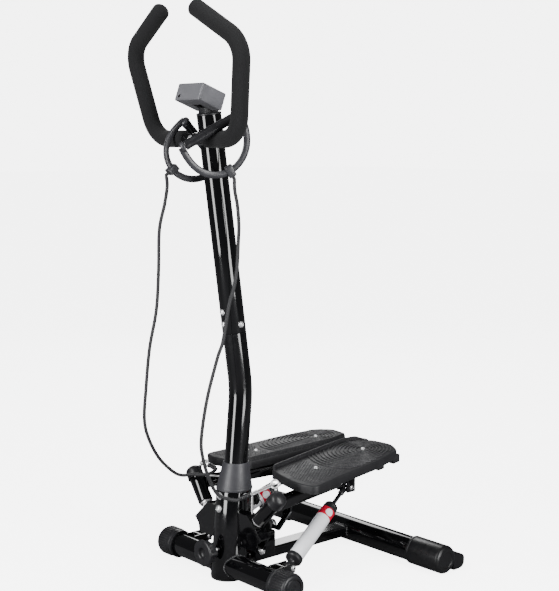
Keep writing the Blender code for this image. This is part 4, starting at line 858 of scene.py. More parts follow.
def base_column():
    """Leaning base tube, its foot plug, and the cone collar at its top."""
    shell = pipe("column", (0, 0, BASE_FOOT), (0, 0, BASE_TOP), BASE_R, BASE_R - 0.0030, 96, 0.0010)
    lean(shell)
    crossing = rod("crossing", (-0.06, 0, FRONT_Z), (0.06, 0, FRONT_Z), FRONT_R + GAP, 64)
    way = rod("way", (0, -0.06, KNOB_Z), (0, 0.08, KNOB_Z), KNOB_SCREW_R + 0.001, 32)
    dress(carved(shell, crossing, way), "black_paint", "base_tube")
    plug = lathe("column_foot", [(0.0, 0.0), (BASE_R - 0.001, 0.0), (BASE_R - 0.001, BASE_FOOT - GAP),
                                 (0.0, BASE_FOOT - GAP)], (0, BASE_Y, 0), (0, 0, 1), 96, 0.0008)
    dress(plug, "rubber", "base_tube_plug")
    low, high = BASE_TOP + GAP, COLLAR_TOP
    wide, narrow, bore = BASE_R + 0.0010, POST_R + 0.0026, POST_R + 2 * GAP
    cuff = lathe("collar", [(bore, low), (wide, low), (wide, low + 0.0040), (wide - 0.0010, low + 0.0052),
                            (narrow + 0.0008, high - 0.0035), (narrow, high), (bore, high)],
                 (0, 0, 0), (0, 0, 1), 96, 0.0010, True)
    lean(cuff)
    dress(cuff, "grey_plastic", "post_collar")
    refined("socket_bush", "post_socket_bush", "cap_plastic", 0.0004)


def rail_and_stop():
    """Centre rail with its welds, and the stop bracket with its bolts and buffers."""
    length = RAIL_REAR - RAIL_FRONT
    centre = (0, (RAIL_REAR + RAIL_FRONT) / 2, (RAIL_HIGH + RAIL_LOW) / 2)
    size = (2 * RAIL_HALF_WIDTH, length, RAIL_HIGH - RAIL_LOW)
    rail = block("rail", size, centre, edge=0.0040, segments=5)
    dress(rail, "black_paint", "frame_rail")
    reach = RAIL_REAR - 0.0012
    for name, x in (("left", -RAIL_HALF_WIDTH), ("right", RAIL_HALF_WIDTH)):
        weld_bead(f"weld_rail_{name}", [(x, reach, RAIL_LOW + 0.003), (x, reach - 0.001, 0.034),
                                        (x, reach, RAIL_HIGH - 0.002)], 0.0018)
    across = RAIL_HALF_WIDTH - 0.002
    weld_bead("weld_rail_top", [(-across, reach + 0.0016, RAIL_HIGH), (0, reach + 0.0010, RAIL_HIGH),
                                (across, reach + 0.0016, RAIL_HIGH)], 0.0018)
    refined("stop_frame", "stop_bracket", "black_paint", 0.0006, corner=0.0060, thickness=0.0045)
    for side_name, side in SIDES:
        for name, seat, head in (("bolt", STOP_BOLT, 0.0088), ("rivet", STOP_RIVET, 0.0036)):
            dome_bolt(f"stop_{name}_{side_name}", mirrored(seat, side), (side, 0, 0), head, shank=0.001)
        profile = [(0.0, 0.0215), (0.0050, 0.0220), (0.0085, 0.0212), (0.0104, 0.0190), (0.0110, 0.0160),
                   (0.0110, 0.0125), (0.0102, 0.0115), (0.0102, 0.0100), (0.0110, 0.0090), (0.0110, 0.0),
                   (0.0, 0.0)]
        buffer = lathe(f"buffer_{side_name}", profile, mirrored(BUFFER, side), (0, 1, 0), 48)
        dress(buffer, "rubber", f"stop_buffer_{side_name}")


stabilizer("front", 0.0, FRONT_Z, FRONT_R, FRONT_CAP_OUT)
column_welds()
stabilizer("rear", REAR_Y, REAR_Z, REAR_R, REAR_CAP_OUT)
base_column()
rail_and_stop()
for side_name, side in SIDES:
    front_foot(side_name, side)
    rear_foot(side_name, side)


# ---------------------------------------------------------------- post, handlebar and monitor

def post():
    """Bent lower tube, straight upper tube and their bolts."""
    corners = [post_axis(height) for height in (POST_FOOT, POST_BEND_Z, POST_SEAM_Z)]
    path = rounded_path(corners, [POST_BEND_R], 24)
    lower = sweep("post_foot_tube", path, POST_R, 72)
    dress(lower, "black_paint", "post_lower")
    upper = pipe("post_head_tube", post_axis(POST_SEAM_Z) + POST_UP * 0.0006, post_axis(POST_TOP_Z),
                 POST_R, POST_R - 0.0025, 72, 0.0008)
    dress(upper, "black_paint", "post_upper")
    outward = Vector((0, -1, BASE_SHEAR)).normalized()
    for name, height, head in BASE_BOLTS:
        seat = post_axis(height) - Vector((0, BASE_R, 0)) + outward * SEAT_LIFT
        dome_bolt(name.replace("base_bolt", "clamp_bolt"), seat, outward, head, replaces=name)
    seat = post_axis(BASE_SIDE_Z) + Vector((BASE_R + SEAT_LIFT, 0, 0))
    dome_bolt("clamp_bolt_side", seat, (1, 0, 0), 0.0075, replaces="base_bolt_side")
    for name, height, head in POST_BOLTS:
        seat = post_axis(height) - POST_REAR * (POST_R + SEAT_LIFT)
        dome_bolt(name.replace("post_bolt", "seam_bolt"), seat, -POST_REAR, head, replaces=name)
    seat = post_axis(POST_SIDE_Z) + Vector((POST_R + SEAT_LIFT, 0, 0))
    dome_bolt("seam_bolt_side", seat, (1, 0, 0), 0.0070, replaces="post_bolt_side")


def bar_path(extension=0.0, start=0.0, steps=18):
    """Half of the U bar from its middle to the end, or past it by the extension."""
    corners = [Vector((start, BAR_Y, BAR_Z))] + [Vector(corner) for corner in BAR_CORNERS]
    direction = (corners[-1] - corners[-2]).normalized()
    corners[-1] = corners[-1] + direction * extension
    return rounded_path(corners, BAR_BENDS, steps)


def dense_path(points, spacing):
    """Points added along the straight parts."""
    out = [Vector(points[0])]
    for a, b in zip(points, points[1:]):
        steps = max(1, round((Vector(b) - Vector(a)).length / spacing))
        for k in range(1, steps + 1):
            out.append(Vector(a).lerp(Vector(b), k / steps))
    return out


def handlebar():
    """U bar with its saddle, its bolt and two foam sleeves."""
    half = bar_path()
    whole = [mirrored(point, -1) for point in reversed(half[1:])] + half[1:]
    bar = sweep("bar", whole, BAR_R, 48)
    saddle = pipe("saddle", (0, BAR_Y + 0.006, BAR_Z), (0, BAR_Y - 0.010, BAR_Z), 0.0105, 0.0045, 48)
    collar = lathe("saddle_ring", [(0.0, 0.0), (0.0118, 0.0), (0.0105, 0.0060), (0.0, 0.0060)],
                   (0, BAR_Y + 0.0100, BAR_Z), (0, 1, 0), 48)
    dress(merged("bar_tube", bar, saddle, collar), "black_paint", "handlebar_tube")
    seat = (0, BAR_Y - BAR_R - SEAT_LIFT, BAR_Z)
    dome_bolt("bar_bolt", seat, (0, -1, 0), 0.0080, replaces="handlebar_bolt")
    for side_name, side in SIDES:
        path = dense_path([mirrored(point, side) for point in bar_path(0.0025, FOAM_START + 0.003)], 0.006)
        grip = sweep(f"foam_sleeve_{side_name}", path, FOAM_R, 48, round_ends=0.009)
        dress(grip, "foam", f"foam_grip_{side_name}")


MONITOR_TURN = Matrix.Rotation(MONITOR_TILT, 4, 'X')
MONITOR_TOP, MONITOR_FRONT = MONITOR_SIZE.z / 2, -MONITOR_SIZE.y / 2
WINDOW_Y, BUTTON_Y = -0.008, 0.018


def monitor_point(x, y, z):
    """Place of a point given in the tilted monitor's own axes."""
    return MONITOR_CENTRE + MONITOR_TURN @ Vector((x, y, z))


def monitor_block(name, size, at, edge=0.0015, segments=3):
    return block(name, size, monitor_point(*at), MONITOR_TURN, edge, segments)


def monitor_case():
    """Hollow housing with its window, button well, earphone socket and the opening for the neck."""
    housing = monitor_block("housing", MONITOR_SIZE, (0, 0, 0), 0.0028, 4)
    window = monitor_block("window", (0.050, 0.028, 0.008), (0, WINDOW_Y, MONITOR_TOP))
    hollow = monitor_block("hollow", (0.072, 0.054, 0.026), (0, 0, -0.001), 0.002)
    opening = monitor_block("opening", (0.026, 0.030, 0.020), (0, 0.010, -MONITOR_TOP), 0.0005)
    jack = rod("jack", monitor_point(JACK_X, MONITOR_FRONT - 0.01, JACK_Z),
               monitor_point(JACK_X, MONITOR_FRONT + 0.01, JACK_Z), 0.0036)
    well = rod("well", monitor_point(0, BUTTON_Y, 0), monitor_point(0, BUTTON_Y, MONITOR_TOP + 0.01),
               0.0062, 48)
    housing = carved(bake(housing), window, hollow, opening, jack, well)
    mouth, outward = monitor_point(JACK_X, MONITOR_FRONT, JACK_Z), MONITOR_TURN @ Vector((0, -1, 0))
    rim = lathe("jack_rim", [(0.0036, -0.0008), (0.0050, -0.0008), (0.0050, 0.0005), (0.0036, 0.0005)],
                mouth, outward, 32, 0.0003, True)
    dress(merged("monitor_shell", housing, rim), "silver_plastic", "monitor_housing")
    socket = lathe("jack_socket", [(0.0, -0.0060), (0.0034, -0.0060), (0.0034, -0.0002), (0.0022, -0.0002),
                                   (0.0022, -0.0050), (0.0, -0.0050)], mouth, outward, 32, 0.0002)
    dress(socket, "grip_plastic")


def monitor_face():
    """Window with four zeros, and the button."""
    seat = (0, WINDOW_Y, MONITOR_TOP - 0.0021)
    glass = monitor_block("display_glass", (0.0494, 0.0274, 0.0030), seat, 0.0008)
    dress(glass, "screen", "monitor_screen")
    level, upright = (0.0050, 0.0011, 0.0003), (0.0011, 0.0066, 0.0003)
    strokes = [(0.0, y, level) for y in (0.0085, -0.0085)]
    strokes += [(x, y, upright) for y in (0.0043, -0.0043) for x in (-0.0036, 0.0036)]
    bars = []
    for digit in range(4):
        for x, y, size in strokes:
            at = (-0.0165 + 0.011 * digit + x, WINDOW_Y + y * 0.85, MONITOR_TOP - 0.00045)
            bars.append(monitor_block("stroke", size, at, 0.0001, 1))
    dress(merged("display_digits", *bars), "digits")
    button = lathe("reset_button", [(0.0, 0.0016), (0.0030, 0.0020), (0.0046, 0.0018), (0.0056, 0.0008),
                                    (0.0056, -0.0058), (0.0, -0.0058)],
                   monitor_point(0, BUTTON_Y, MONITOR_TOP), MONITOR_TURN @ Vector((0, 0, 1)), 48, 0.0005)
    dress(button, "grey_plastic", "monitor_button", body="button")


def monitor_stand():
    """The post's cap with a neck that ends at the tilted housing."""
    crown = post_axis(POST_TOP_Z)
    cap = lathe("cap", [(0.0, 0.0040), (0.0235, 0.0040), (0.0256, 0.0028), (0.0258, GAP), (0.0222, GAP),
                        (0.0220, -0.018), (0.0, -0.018)], crown, POST_UP, 72, 0.0008)
    stand = block("stand", (0.024, 0.034, 0.030), (0, crown.y - 0.001, POST_TOP_Z + 0.014), edge=0.0020)
    clear = monitor_block("clear", MONITOR_SIZE + Vector((0.001, 0.001, 0.001)), (0, 0, 0), 0.0001)
    dress(merged("monitor_stand", cap, carved(bake(stand), clear)), "cap_plastic", "monitor_neck")


post()
handlebar()
monitor_case()
monitor_face()
monitor_stand()


# ---------------------------------------------------------------- pedal units

def pedal_matrix():
    """From the right pedal's own axes, across, rearward and up from its front screw, to the scene."""
    rearward = PEDAL_REARWARD
    level = Vector((rearward.y, -rearward.x, 0)).normalized()
    up = level.cross(rearward)
    across = level * math.cos(PEDAL_ROLL) - up * math.sin(PEDAL_ROLL)
    up = across.cross(rearward)
    matrix = Matrix((across, rearward, up)).transposed().to_4x4()
    matrix.translation = PEDAL_SCREW
    return matrix


PEDAL_CORNERS = ((-0.070, -0.070), (-0.020, -0.086), (0.030, -0.098), (0.074, -0.090), (0.071, -0.010),
                 (0.075, 0.120), (0.066, 0.210), (0.030, 0.238), (-0.025, 0.234), (-0.058, 0.210),
                 (-0.070, 0.170))
PLATE_WALL, RAISED_HALF = 0.0045, 0.0021
RIB_FIRST, RIB_LAST, RIB_PITCH, RIB_STRETCH = 0.0150, 0.115, 0.0079, 1.30
RIB_FRONT, RIB_REAR, RIB_HALF, RIB_HEIGHT = 0.018, 0.216, 0.0021, 0.0020
DOT_PITCH, DOT_CLEAR = 0.0068, 0.152
# Across, rearward, width, length and drop of the lugs below the rear edge
LUGS = ((0.054, 0.2120, 0.016, 0.024, 0.013), (0.0630, 0.1450, 0.012, 0.022, 0.009))


def pedal_outline(inset=0.0, steps=8):
    """Rounded outline of the right tread, drawn in by the inset."""
    shrunk = []
    for x, y in PEDAL_CORNERS:
        reach = Vector((x, y)) - Vector((0.0, 0.075))
        shrunk.append(Vector((x - math.copysign(inset, reach.x), y - math.copysign(inset, reach.y))))
    outline = []
    for i, here in enumerate(shrunk):
        before, after = shrunk[i - 1], shrunk[(i + 1) % len(shrunk)]
        radius = min(0.016, (before - here).length * 0.4, (after - here).length * 0.4)
        start = here + (before - here).normalized() * radius
        end = here + (after - here).normalized() * radius
        outline += corner_curve(start, here, end, steps)
    return outline


def inside(point, outline):
    """True if the point lies within the outline."""
    hit = False
    for a, b in zip(outline, outline[1:] + outline[:1]):
        if (a.y > point.y) != (b.y > point.y):
            if point.x < (b.x - a.x) * (point.y - a.y) / (b.y - a.y) + a.x:
                hit = not hit
    return hit


def ribbon(bm, run, section):
    """Bar along a flat run of points. section gives (offset, height) pairs at a share of the run."""
    rows = []
    for i, point in enumerate(run):
        ahead, behind = run[min(i + 1, len(run) - 1)], run[max(i - 1, 0)]
        tangent = (ahead - behind).normalized()
        rows.append([bm.verts.new((point.x - tangent.y * offset, point.y + tangent.x * offset, height))
                     for offset, height in section(i / (len(run) - 1))])
    skin(bm, rows)
    close_ends(bm, rows)


def rib_runs(outline, rear):
    """The stretches of the horseshoe lines that lie on the tread."""
    runs, radius = [], RIB_FIRST
    while radius < RIB_LAST:
        runs.append([])
        across, along = Vector((radius, 0)), Vector((0, radius))
        for point in arc_points(rear, across, along, -TURN / 4, TURN * 3 / 4, 180):
            if point.y < rear.y:
                point.y = rear.y + (point.y - rear.y) * RIB_STRETCH
            if inside(point, outline) and RIB_FRONT < point.y <= RIB_REAR:
                runs[-1].append(point)
            else:
                runs.append([])
        radius += RIB_PITCH
    return [run for run in runs if len(run) > 2]


def tread(matrix):
    """Raised horseshoe ribs round the rear screw, and the dots in front of them."""
    rear = Vector((0.0, PEDAL_SCREW_PITCH))
    bm = bmesh.new()
    narrow = RIB_HALF * 0.45
    section = ((RIB_HALF, -0.0008), (narrow, RIB_HEIGHT), (-narrow, RIB_HEIGHT), (-RIB_HALF, -0.0008))
    for run in rib_runs(pedal_outline(0.0085), rear):
        ribbon(bm, run, lambda share: section)
    dotted = pedal_outline(0.013)
    for row in range(-13, 4):
        shift = DOT_PITCH / 2 if row % 2 else 0.0
        for column in range(-10, 11):
            point = Vector((column * DOT_PITCH + shift, row * DOT_PITCH + 0.004))
            on_ribs = (point - rear).length < DOT_CLEAR and point.y > 0.014
            if inside(point, dotted) and point.length >= 0.010 and not on_ribs:
                bmesh.ops.create_cone(bm, cap_ends=True, segments=12, radius1=0.0017, radius2=0.0010,
                                      depth=0.0026, matrix=Matrix.Translation((point.x, point.y, 0.0001)))
    bmesh.ops.transform(bm, matrix=matrix, verts=bm.verts)
    return mesh_piece("ribs", bm)


def pedal_plate(matrix):
    """Thin plate with a skirt round it, open below."""
    bm = bmesh.new()
    stack = ((PLATE_WALL, -PLATE_WALL), (PLATE_WALL, -PEDAL_DEPTH), (0.0006, -PEDAL_DEPTH),
             (0.0, -PEDAL_DEPTH + 0.0008), (0.0, -0.0034), (0.0005, -0.0018), (0.0016, -0.0006),
             (0.0032, 0.0))
    rings = [[bm.verts.new((p.x, p.y, z)) for p in pedal_outline(inset)] for inset, z in stack]
    skin(bm, rings)
    close_ends(bm, rings)
    bmesh.ops.transform(bm, matrix=matrix, verts=bm.verts)
    return mesh_piece("plate", bm, 30.0)


def raised_wall(matrix):
    """Low wall along the inner side and round its corners, lower at both ends."""
    keep = [p for p in pedal_outline(0.0026, 10) if p.x < (-0.034 if p.y < 0.150 else -0.030)]
    keep.sort(key=lambda p: p.y)

    def section(share):
        rise = PEDAL_RIM * min(1.0, 8.0 * share + 0.15, 8.0 * (1.0 - share) + 0.15)
        half = [(RAISED_HALF, -0.003), (RAISED_HALF, rise - 0.0012), (RAISED_HALF * 0.5, rise - 0.0002)]
        return [(-offset, height) for offset, height in half] + half[::-1]

    bm = bmesh.new()
    ribbon(bm, dense_path([p.to_3d() for p in keep], 0.006), section)
    bmesh.ops.transform(bm, matrix=matrix, verts=bm.verts)
    return mesh_piece("wall", bm, 50.0)


def pedal_underside(matrix):
    """Screw bosses, cross ribs and lugs."""
    low = -PEDAL_DEPTH + 0.0005
    bosses = [rod("boss", matrix @ Vector((0, y, low)), matrix @ Vector((0, y, -0.002)), 0.011)
              for y in (0.0, PEDAL_SCREW_PITCH)]
    under = [((0.128, 0.0022, 0.0125), (0.0, y, -0.0100), 0.0004, 1) for y in (-0.045, 0.045, 0.125, 0.200)]
    under += [((0.0022, 0.240, 0.0125), (x, 0.078, -0.0100), 0.0004, 1) for x in (-0.036, 0.036)]
    under += [((width, length, drop + 0.006), (x, y, -PEDAL_DEPTH - drop / 2 + 0.003), 0.0022, 3)
              for x, y, width, length, drop in LUGS]
    webs = []
    for size, centre, edge, segments in under:
        webs.append(block("web", size, (0, 0, 0), None, edge, segments))
        webs[-1].data.transform(matrix @ Matrix.Translation(centre))
    return bosses + webs


def pedal(side_name, side):
    matrix = pedal_matrix()
    whole = merged(f"footplate_{side_name}", pedal_plate(matrix), raised_wall(matrix), tread(matrix),
                   *pedal_underside(matrix))
    flip_to_side(whole, side)
    dress(whole, "tread_plastic", f"pedal_{side_name}", body=UNIT[side])
    profile = [(0.0, 0.0004), (0.0016, 0.0004), (0.0020, 0.0022), (0.0034, 0.0020), (0.0048, 0.0010),
               (0.0052, -0.0012), (0.0, -0.0012)]
    up = mirrored(matrix.to_3x3() @ Vector((0, 0, 1)), side)
    for index, y in enumerate((0.0, PEDAL_SCREW_PITCH)):
        seat = mirrored(matrix @ Vector((0, y, 0.0008)), side)
        screw = lathe(f"tread_screw_{side_name}_{index}", profile, seat, up, 36, 0.0003)
        dress(screw, "zinc", body=UNIT[side])


def flip_to_side(obj, side):
    """Right-hand mesh to the left side, with its faces turned the right way out."""
    if side < 0:
        obj.data.transform(Matrix.Diagonal((-1, 1, 1, 1)))
        obj.data.flip_normals()


def pivot_tube(side_name, side):
    sleeve = pipe(f"pivot_tube_{side_name}", along_pivot(SLEEVE_LOW, side), along_pivot(SLEEVE_HIGH, side),
                  SLEEVE_R, 0.0092, 64)
    dress(sleeve, "black_paint", f"pivot_sleeve_{side_name}", body=UNIT[side])


def sleeve_cap(side_name, side):
    """Domed cap with a boss, and the steel eye in it that the band hooks into."""
    length, reach, bore = SLEEVE_CAP_LENGTH, SLEEVE_CAP_R, SLEEVE_R + GAP
    profile = [(0.0, length), (0.0050, length - 0.0003), (0.0095, length - 0.0016),
               (0.0130, length - 0.0036), (0.0160, length - 0.0062), (0.0178, length - 0.0090),
               (reach, length - 0.0125), (reach, 0.0048), (reach + 0.0006, 0.0040),
               (reach + 0.0006, 0.0004), (bore + 0.001, 0.0), (bore, 0.0004),
               (bore, CAP_OVERLAP + GAP), (0.0118, CAP_OVERLAP + GAP), (0.0118, CAP_OVERLAP + 0.0065),
               (0.0, CAP_OVERLAP + 0.0065)]
    cap = lathe("cap", profile, along_pivot(CAP_FOOT, side), mirrored(PIVOT_DIR, side), 72)
    eye, along, normal = hook_frame(side)
    root = along_pivot(SLEEVE_HIGH + 0.0040, side) + cap_clock(side, CLOCKS[side]) * 0.0130
    to_root = (root - eye).normalized()
    boss = rod("boss", root, eye + to_root * (EYE_RING_R + 0.004), 0.0046, 28, 0.0012)
    whole = merged(f"pivot_cap_{side_name}", cap, boss)
    dress(whole, "cap_plastic", f"sleeve_cap_{side_name}", body=UNIT[side])
    ring = loop_points(eye, along * EYE_RING_R, normal.cross(along) * EYE_RING_R, 48)
    hoop = sweep("hoop", ring, EYE_WIRE_R, 20, cyclic=True)
    stem = rod("stem", root, eye + to_root * (EYE_RING_R - 0.0005), 0.0024, 20, 0.0004)
    dress(merged(f"band_eye_{side_name}", hoop, stem), "zinc", body=UNIT[side])


def pivot_bolt(side_name, side):
    """Pin through the sleeve, with its nut, washer and head."""
    foot = SLEEVE_LOW - 0.0105
    shank, washer, head = (
        rod(name, along_pivot(low, side), along_pivot(high, side), radius, sides)
        for name, low, high, radius, sides in (
            ("shank", foot - 0.008, SLEEVE_HIGH + 0.004, 0.0060, 40),
            ("washer", foot + 0.006, SLEEVE_LOW - 0.0010, 0.0140, 48),
            ("head", SLEEVE_HIGH + 0.0005, SLEEVE_HIGH + 0.005, 0.0108, 40)))
    nut = lathe("nut", [(0.0, 0.0014), (0.0105, 0.0014), (0.0105, 0.0065), (0.0, 0.0065)],
                along_pivot(foot, side), mirrored(PIVOT_DIR, side), 6, 0.0004)
    dress(merged(f"pivot_bolt_{side_name}", shank, nut, washer, head), "zinc", f"pivot_pin_{side_name}")


def pivot_unit(side_name, side):
    """One pedal's pivot, arm, brackets and fasteners."""
    unit = UNIT[side]
    pivot_tube(side_name, side)
    sleeve_cap(side_name, side)
    refined(f"lever_{side_name}", f"pedal_arm_{side_name}", "black_paint", 0.0006, body=unit)
    pivot_bolt(side_name, side)
    refined(f"pivot_channel_{side_name}", f"pivot_bracket_{side_name}", "black_paint", 0.0008,
            corner=0.0120, thickness=0.0065)
    refined(f"damper_fork_{side_name}", f"damper_bracket_{side_name}", "black_paint", 0.0006)
    for index, sign in enumerate((-1, 1)):
        for name, at, reach, head, body in (("damper_nut", DAMPER_LOW, 0.0158, 0.0066, FRAME),
                                            ("eye_bolt", DAMPER_HIGH, 0.0176, 0.0058, unit)):
            seat = mirrored(at, side) + Vector((sign * reach, 0, 0))
            dome_bolt(f"{name}_{side_name}_{index}", seat, (sign, 0, 0), head, body, shank=0.0002)


def damper_label(side_name, body, low, axis):
    """White disc bent round the barrel, with a thin rim."""
    outward = Vector((0.78, -0.62, 0.10))
    outward = (outward - axis * outward.dot(axis)).normalized()
    around = axis.cross(outward)
    centre, face = low + axis * LABEL_AT, BARREL_R + 0.0004
    bm = bmesh.new()
    middle = bm.verts.new(centre + outward * face)
    rings = []
    for share, radius in ((0.45, face), (0.8, face), (1.0, face), (1.0, face - 0.0004)):
        rings.append([])
        for angle in (TURN * k / 40 for k in range(40)):
            lift = axis * (share * LABEL_R * math.cos(angle))
            clock = share * LABEL_R * math.sin(angle) / BARREL_R
            spot = centre + lift + (outward * math.cos(clock) + around * math.sin(clock)) * radius
            rings[-1].append(bm.verts.new(spot))
    for k in range(40):
        bm.faces.new((middle, rings[0][k], rings[0][(k + 1) % 40]))
    skin(bm, rings)
    dress(mesh_piece(f"damper_dot_{side_name}", bm, 60.0), "white_paint", body=body)


def damper_barrel(side_name, body, low, axis):
    """White tube with its red band and label, the boot of its ball joint and its gland."""
    profile = [(0.0118, BARREL_FOOT), (BARREL_R, BARREL_FOOT), (BARREL_R, BARREL_TOP), (0.0118, BARREL_TOP)]
    tube = lathe(f"damper_tube_{side_name}", profile, low, axis, 64, 0.0008, True)
    dress(tube, "white_paint", f"damper_barrel_{side_name}", body=body)
    under, over = BARREL_R - 0.0004, BARREL_R + 0.00012
    band_profile = [(under, 0.1530), (over, 0.1531), (over, 0.1762), (under, 0.1763)]
    band = lathe(f"damper_band_{side_name}", band_profile, low, axis, 64, 0.0001, True)
    dress(band, "red_label", body=body)
    damper_label(side_name, body, low, axis)
    boot_profile = [(0.0, 0.0310), (0.0160, 0.0310), (0.0185, 0.0295), (0.0187, 0.0215), (0.0172, 0.0190),
                    (0.0125, 0.0175), (0.0070, 0.0150), (EYE_NECK_R, 0.0120), (0.0060, 0.0082)]
    first = math.asin(EYE_NECK_R / EYE_R)
    for k in range(1, 13):
        angle = first + (math.pi - first) * k / 12
        boot_profile.append((EYE_R * math.sin(angle) if k < 12 else 0.0, EYE_R * math.cos(angle)))
    boot = lathe("boot", boot_profile, low, axis, 56)
    gland = lathe("gland", [(0.0, 0.1750), (0.0158, 0.1750), (0.0162, 0.1775), (0.0162, 0.1840),
                            (0.0152, 0.1850), (0.0152, 0.1868), (0.0158, 0.1878), (0.0150, 0.1930),
                            (0.0120, 0.1965), (0.0070, 0.1995), (0.0058, 0.1998), (0.0, 0.1998)],
                  low, axis, 56)
    dress(merged(f"damper_boot_{side_name}", boot, gland), "cap_plastic", body=body)


def damper(side_name, side):
    """White barrel on the lower joint, and the rod with its eye on the arm."""
    low, high = mirrored(DAMPER_LOW, side), mirrored(DAMPER_HIGH, side)
    axis = (high - low).normalized()
    damper_barrel(side_name, f"damper_{side_name}_barrel", low, axis)
    body = f"damper_{side_name}_rod"
    shaft = rod(f"damper_shaft_{side_name}", low + axis * 0.100, high - axis * 0.0090, ROD_R, 40)
    dress(shaft, "chrome", f"damper_rod_{side_name}", body=body)
    half = Vector((0.0065, 0, 0))
    eye = pipe("eye", high - half, high + half, 0.0125, 0.0085, 48)
    neck = rod("neck", high - axis * 0.026, high - axis * 0.0100, 0.0068, 36, 0.0012)
    dress(merged(f"damper_eye_{side_name}", eye, neck), "cap_plastic", body=body)


for side_name, side in SIDES:
    pivot_unit(side_name, side)
    pedal(side_name, side)
    damper(side_name, side)


# ---------------------------------------------------------------- knob and cable drive

def tension_knob():
    """Lobed grip on a disc, with its screw through the base tube."""
    face, out = Vector((0, KNOB_FACE_Y, KNOB_Z)), Vector((0, -1, 0))
    disc = lathe("disc", [(0.0, -0.0075), (0.0070, -0.0072), (0.0098, -0.0050), (0.0118, -0.0012),
                          (0.0135, 0.0), (0.0262, 0.0), (0.0284, -0.0012), (0.0290, -0.0032),
                          (0.0284, -0.0062), (0.0240, -0.0095), (0.0, -0.0095)], face, out, 96, 0.0008)
    outline = []
    for angle in (TURN * k / 144 for k in range(144)):
        r = LOBE_R + LOBE_DEPTH * math.cos(LOBES * angle)
        outline.append((r * math.cos(angle), r * math.sin(angle)))
    grip = slab("lobes", outline, -0.0255, -0.0090, Matrix.Translation(face) @ frame_along(out), 0.0016, 3)
    hub = lathe("hub", [(0.0, -0.0250), (0.0125, -0.0250), (0.0100, -0.0300), (0.0, -0.0300)], face, out, 48)
    dress(merged("tension_knob", disc, grip, hub), "cap_plastic", "adjuster_knob", body="knob")
    start = KNOB_FACE_Y + 0.029
    top = KNOB_SCREW_END - start
    threads = []
    for z in (0.0005 + THREAD_PITCH * k for k in range(26)):
        threads += [(KNOB_SCREW_R, z), (KNOB_SCREW_R, z + 0.0015), (KNOB_SCREW_R - 0.0007, z + 0.0025)]
    profile = [(0.0, 0.0)] + [(r, z) for r, z in threads if z < top - 0.001] + [(0.0, top)]
    screw = lathe("knob_screw", profile, (0, start, KNOB_Z), (0, 1, 0), 32, 0.0003)
    dress(screw, "zinc", body="knob")


def sheave():
    """Grooved wheel with recessed faces. Its groove is wide, since the carriage moves under the wire."""
    half, rim = 0.0040, PULLEY_R + 0.003
    upper = [(PULLEY_R, half - 0.0005), (rim, half - 0.0004), (rim, half), (0.0090, half),
             (0.0086, half - 0.0012), (0.0062, half - 0.0012), (0.0060, half), (0.0040, half)]
    lower = [(PULLEY_R, -half + 0.0005), (rim, -half + 0.0004), (rim, -half), (0.0090, -half),
             (0.0085, -half + 0.0012), (0.0060, -half + 0.0012), (0.0058, -half), (0.0040, -half)]
    wheel = lathe("sheave", upper[::-1] + lower, PULLEY, (0, 1, 0), 72, 0.0003, True)
    dress(wheel, "cap_plastic", "cable_pulley", body="pulley")


def cable():
    """The two strands of the wire, each ending in a ball on its own pedal unit."""
    wrap = PULLEY_R + CABLE_R + GAP
    reach = CABLE_END - PULLEY
    touch = math.atan2(reach.z, reach.x) + math.acos(wrap / math.hypot(reach.x, reach.z))
    arc = arc_points(PULLEY, Vector((wrap, 0, 0)), Vector((0, 0, wrap)), math.pi / 2, touch, 12)
    ball_profile = [(0.0, -0.0030), (0.0022, -0.0026), (0.0028, -0.0010), (0.0028, 0.0030),
                    (0.0018, 0.0052), (0.0, 0.0056)]
    for side_name, side in SIDES:
        start, end = mirrored(arc[-1], side), mirrored(CABLE_END, side)
        path = dense_path([mirrored(point, side) for point in arc] + [end], 0.004)
        strand = sweep(f"wire_{side_name}", path, CABLE_R, 14)
        dress(strand, "cable", "equalizer_cable" if side > 0 else (), body=None)
        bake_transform(strand)
        back = (start - end).normalized()
        ball = lathe(f"wire_end_{side_name}", ball_profile, end, back, 28, 0.0004)
        dress(ball, "zinc", body=UNIT[side])


tension_knob()
refined("tension_slide", "pulley_carriage", "zinc", 0.0006, body="carriage")
sheave()
cable()


# ---------------------------------------------------------------- stage and light

FLOOR_HALF, FLOOR_GLOW, BACKGROUND = 30.0, 5.2, 5.8
SKY, SKY_FILL, SKY_IN_GLOSS = (0.96, 0.98, 1.0), 0.42, 0.06
# Name, place, aim, width, height, power, seen in reflections
LIGHTS = (
    ("key", (-0.02, -1.75, 1.28), (0.0, 0.0, 1.28), 0.62, 2.5, 62.0, True),
    ("side", (1.80, 0.12, 1.28), (0.0, 0.0, 1.28), 0.70, 2.5, 62.0, True),
    ("top", (0.2, 0.2, 3.0), (0.0, 0.08, 0.55), 1.2, 1.2, 30.0, False),
    ("back", (-2.2, 1.8, 1.8), (0.0, 0.08, 0.55), 0.9, 1.8, 24.0, True),
)


def by_ray(tree, flag, first, second):
    """Shader that is the second one for rays of this kind and the first for all others."""
    rays = tree.nodes.new("ShaderNodeLightPath")
    mix = tree.nodes.new("ShaderNodeMixShader")
    tree.links.new(rays.outputs[flag], mix.inputs["Fac"])
    tree.links.new(first, mix.inputs[1])
    tree.links.new(second, mix.inputs[2])
    return mix.outputs["Shader"]


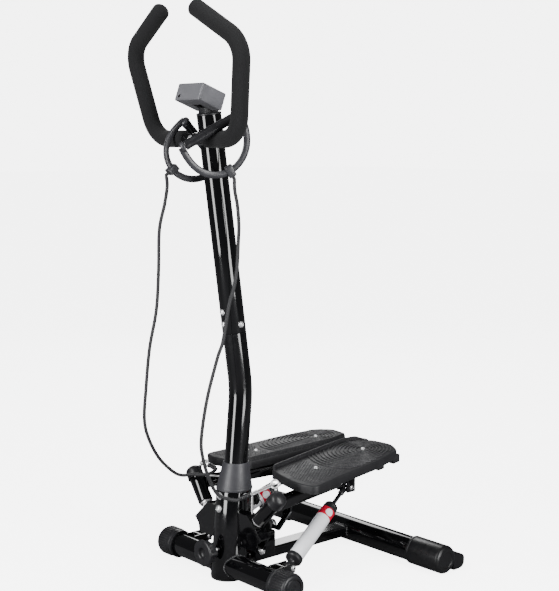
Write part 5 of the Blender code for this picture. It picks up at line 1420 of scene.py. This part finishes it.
def floor():
    """Floor that glows white for the camera only, and is dark grey for all other rays."""
    n = Nodes("floor")
    tone = n.mix(n.remap(n.noise(1.2, 3.0), 0.3, 0.7, 0.0, 1.0), (0.90, 0.90, 0.905), (0.93, 0.93, 0.93))
    n.finish(tone, 0.8, n.bump(n.noise(220.0, 2.0), 0.03, 0.0003), specular=0.1)
    n.shader.inputs["Emission Color"].default_value = (1.0, 1.0, 1.0, 1.0)
    n.shader.inputs["Emission Strength"].default_value = FLOOR_GLOW
    plain = n.add("ShaderNodeBsdfDiffuse", Color=(0.13, 0.13, 0.135, 1.0))
    out = n.tree.nodes["Material Output"]
    shader = by_ray(n.tree, "Is Camera Ray", plain.outputs["BSDF"], n.shader.outputs["BSDF"])
    n.link(shader, out.inputs["Surface"])
    bm = bmesh.new()
    bmesh.ops.create_grid(bm, x_segments=8, y_segments=8, size=FLOOR_HALF)
    obj = mesh_piece("studio_floor", bm)
    obj.location.z = -0.0005
    obj.data.materials.append(n.mat)


def area_light(name, at, aim, width, height, power, glossy):
    """Light panel that no camera ray sees; glossy says if it shows in reflections."""
    light = bpy.data.lights.new(name, 'AREA')
    light.shape = 'RECTANGLE'
    light.size, light.size_y, light.energy = width, height, power
    obj = bpy.data.objects.new(name, light)
    bpy.context.scene.collection.objects.link(obj)
    obj.location = at
    obj.visible_camera, obj.visible_glossy = False, glossy
    obj.rotation_euler = (Vector(aim) - Vector(at)).to_track_quat('-Z', 'Y').to_euler()


def background(tree, colour, strength):
    """World shader of one even colour."""
    node = tree.nodes.new("ShaderNodeBackground")
    node.inputs["Color"].default_value = (*colour, 1.0)
    node.inputs["Strength"].default_value = strength
    return node.outputs["Background"]


def studio():
    """Two tall strip lights, a top and a back light, and a white background."""
    world = bpy.data.worlds.new("studio")
    bpy.context.scene.world = world
    world.use_nodes = True
    tree = world.node_tree
    for node in list(tree.nodes):
        tree.nodes.remove(node)
    out = tree.nodes.new("ShaderNodeOutputWorld")
    fill = background(tree, SKY, SKY_FILL)
    dim = background(tree, SKY, SKY_IN_GLOSS)
    white = background(tree, (1.0, 1.0, 1.0), BACKGROUND)
    shader = by_ray(tree, "Is Camera Ray", by_ray(tree, "Is Glossy Ray", fill, dim), white)
    tree.links.new(shader, out.inputs["Surface"])
    for row in LIGHTS:
        area_light(*row)


floor()
studio()
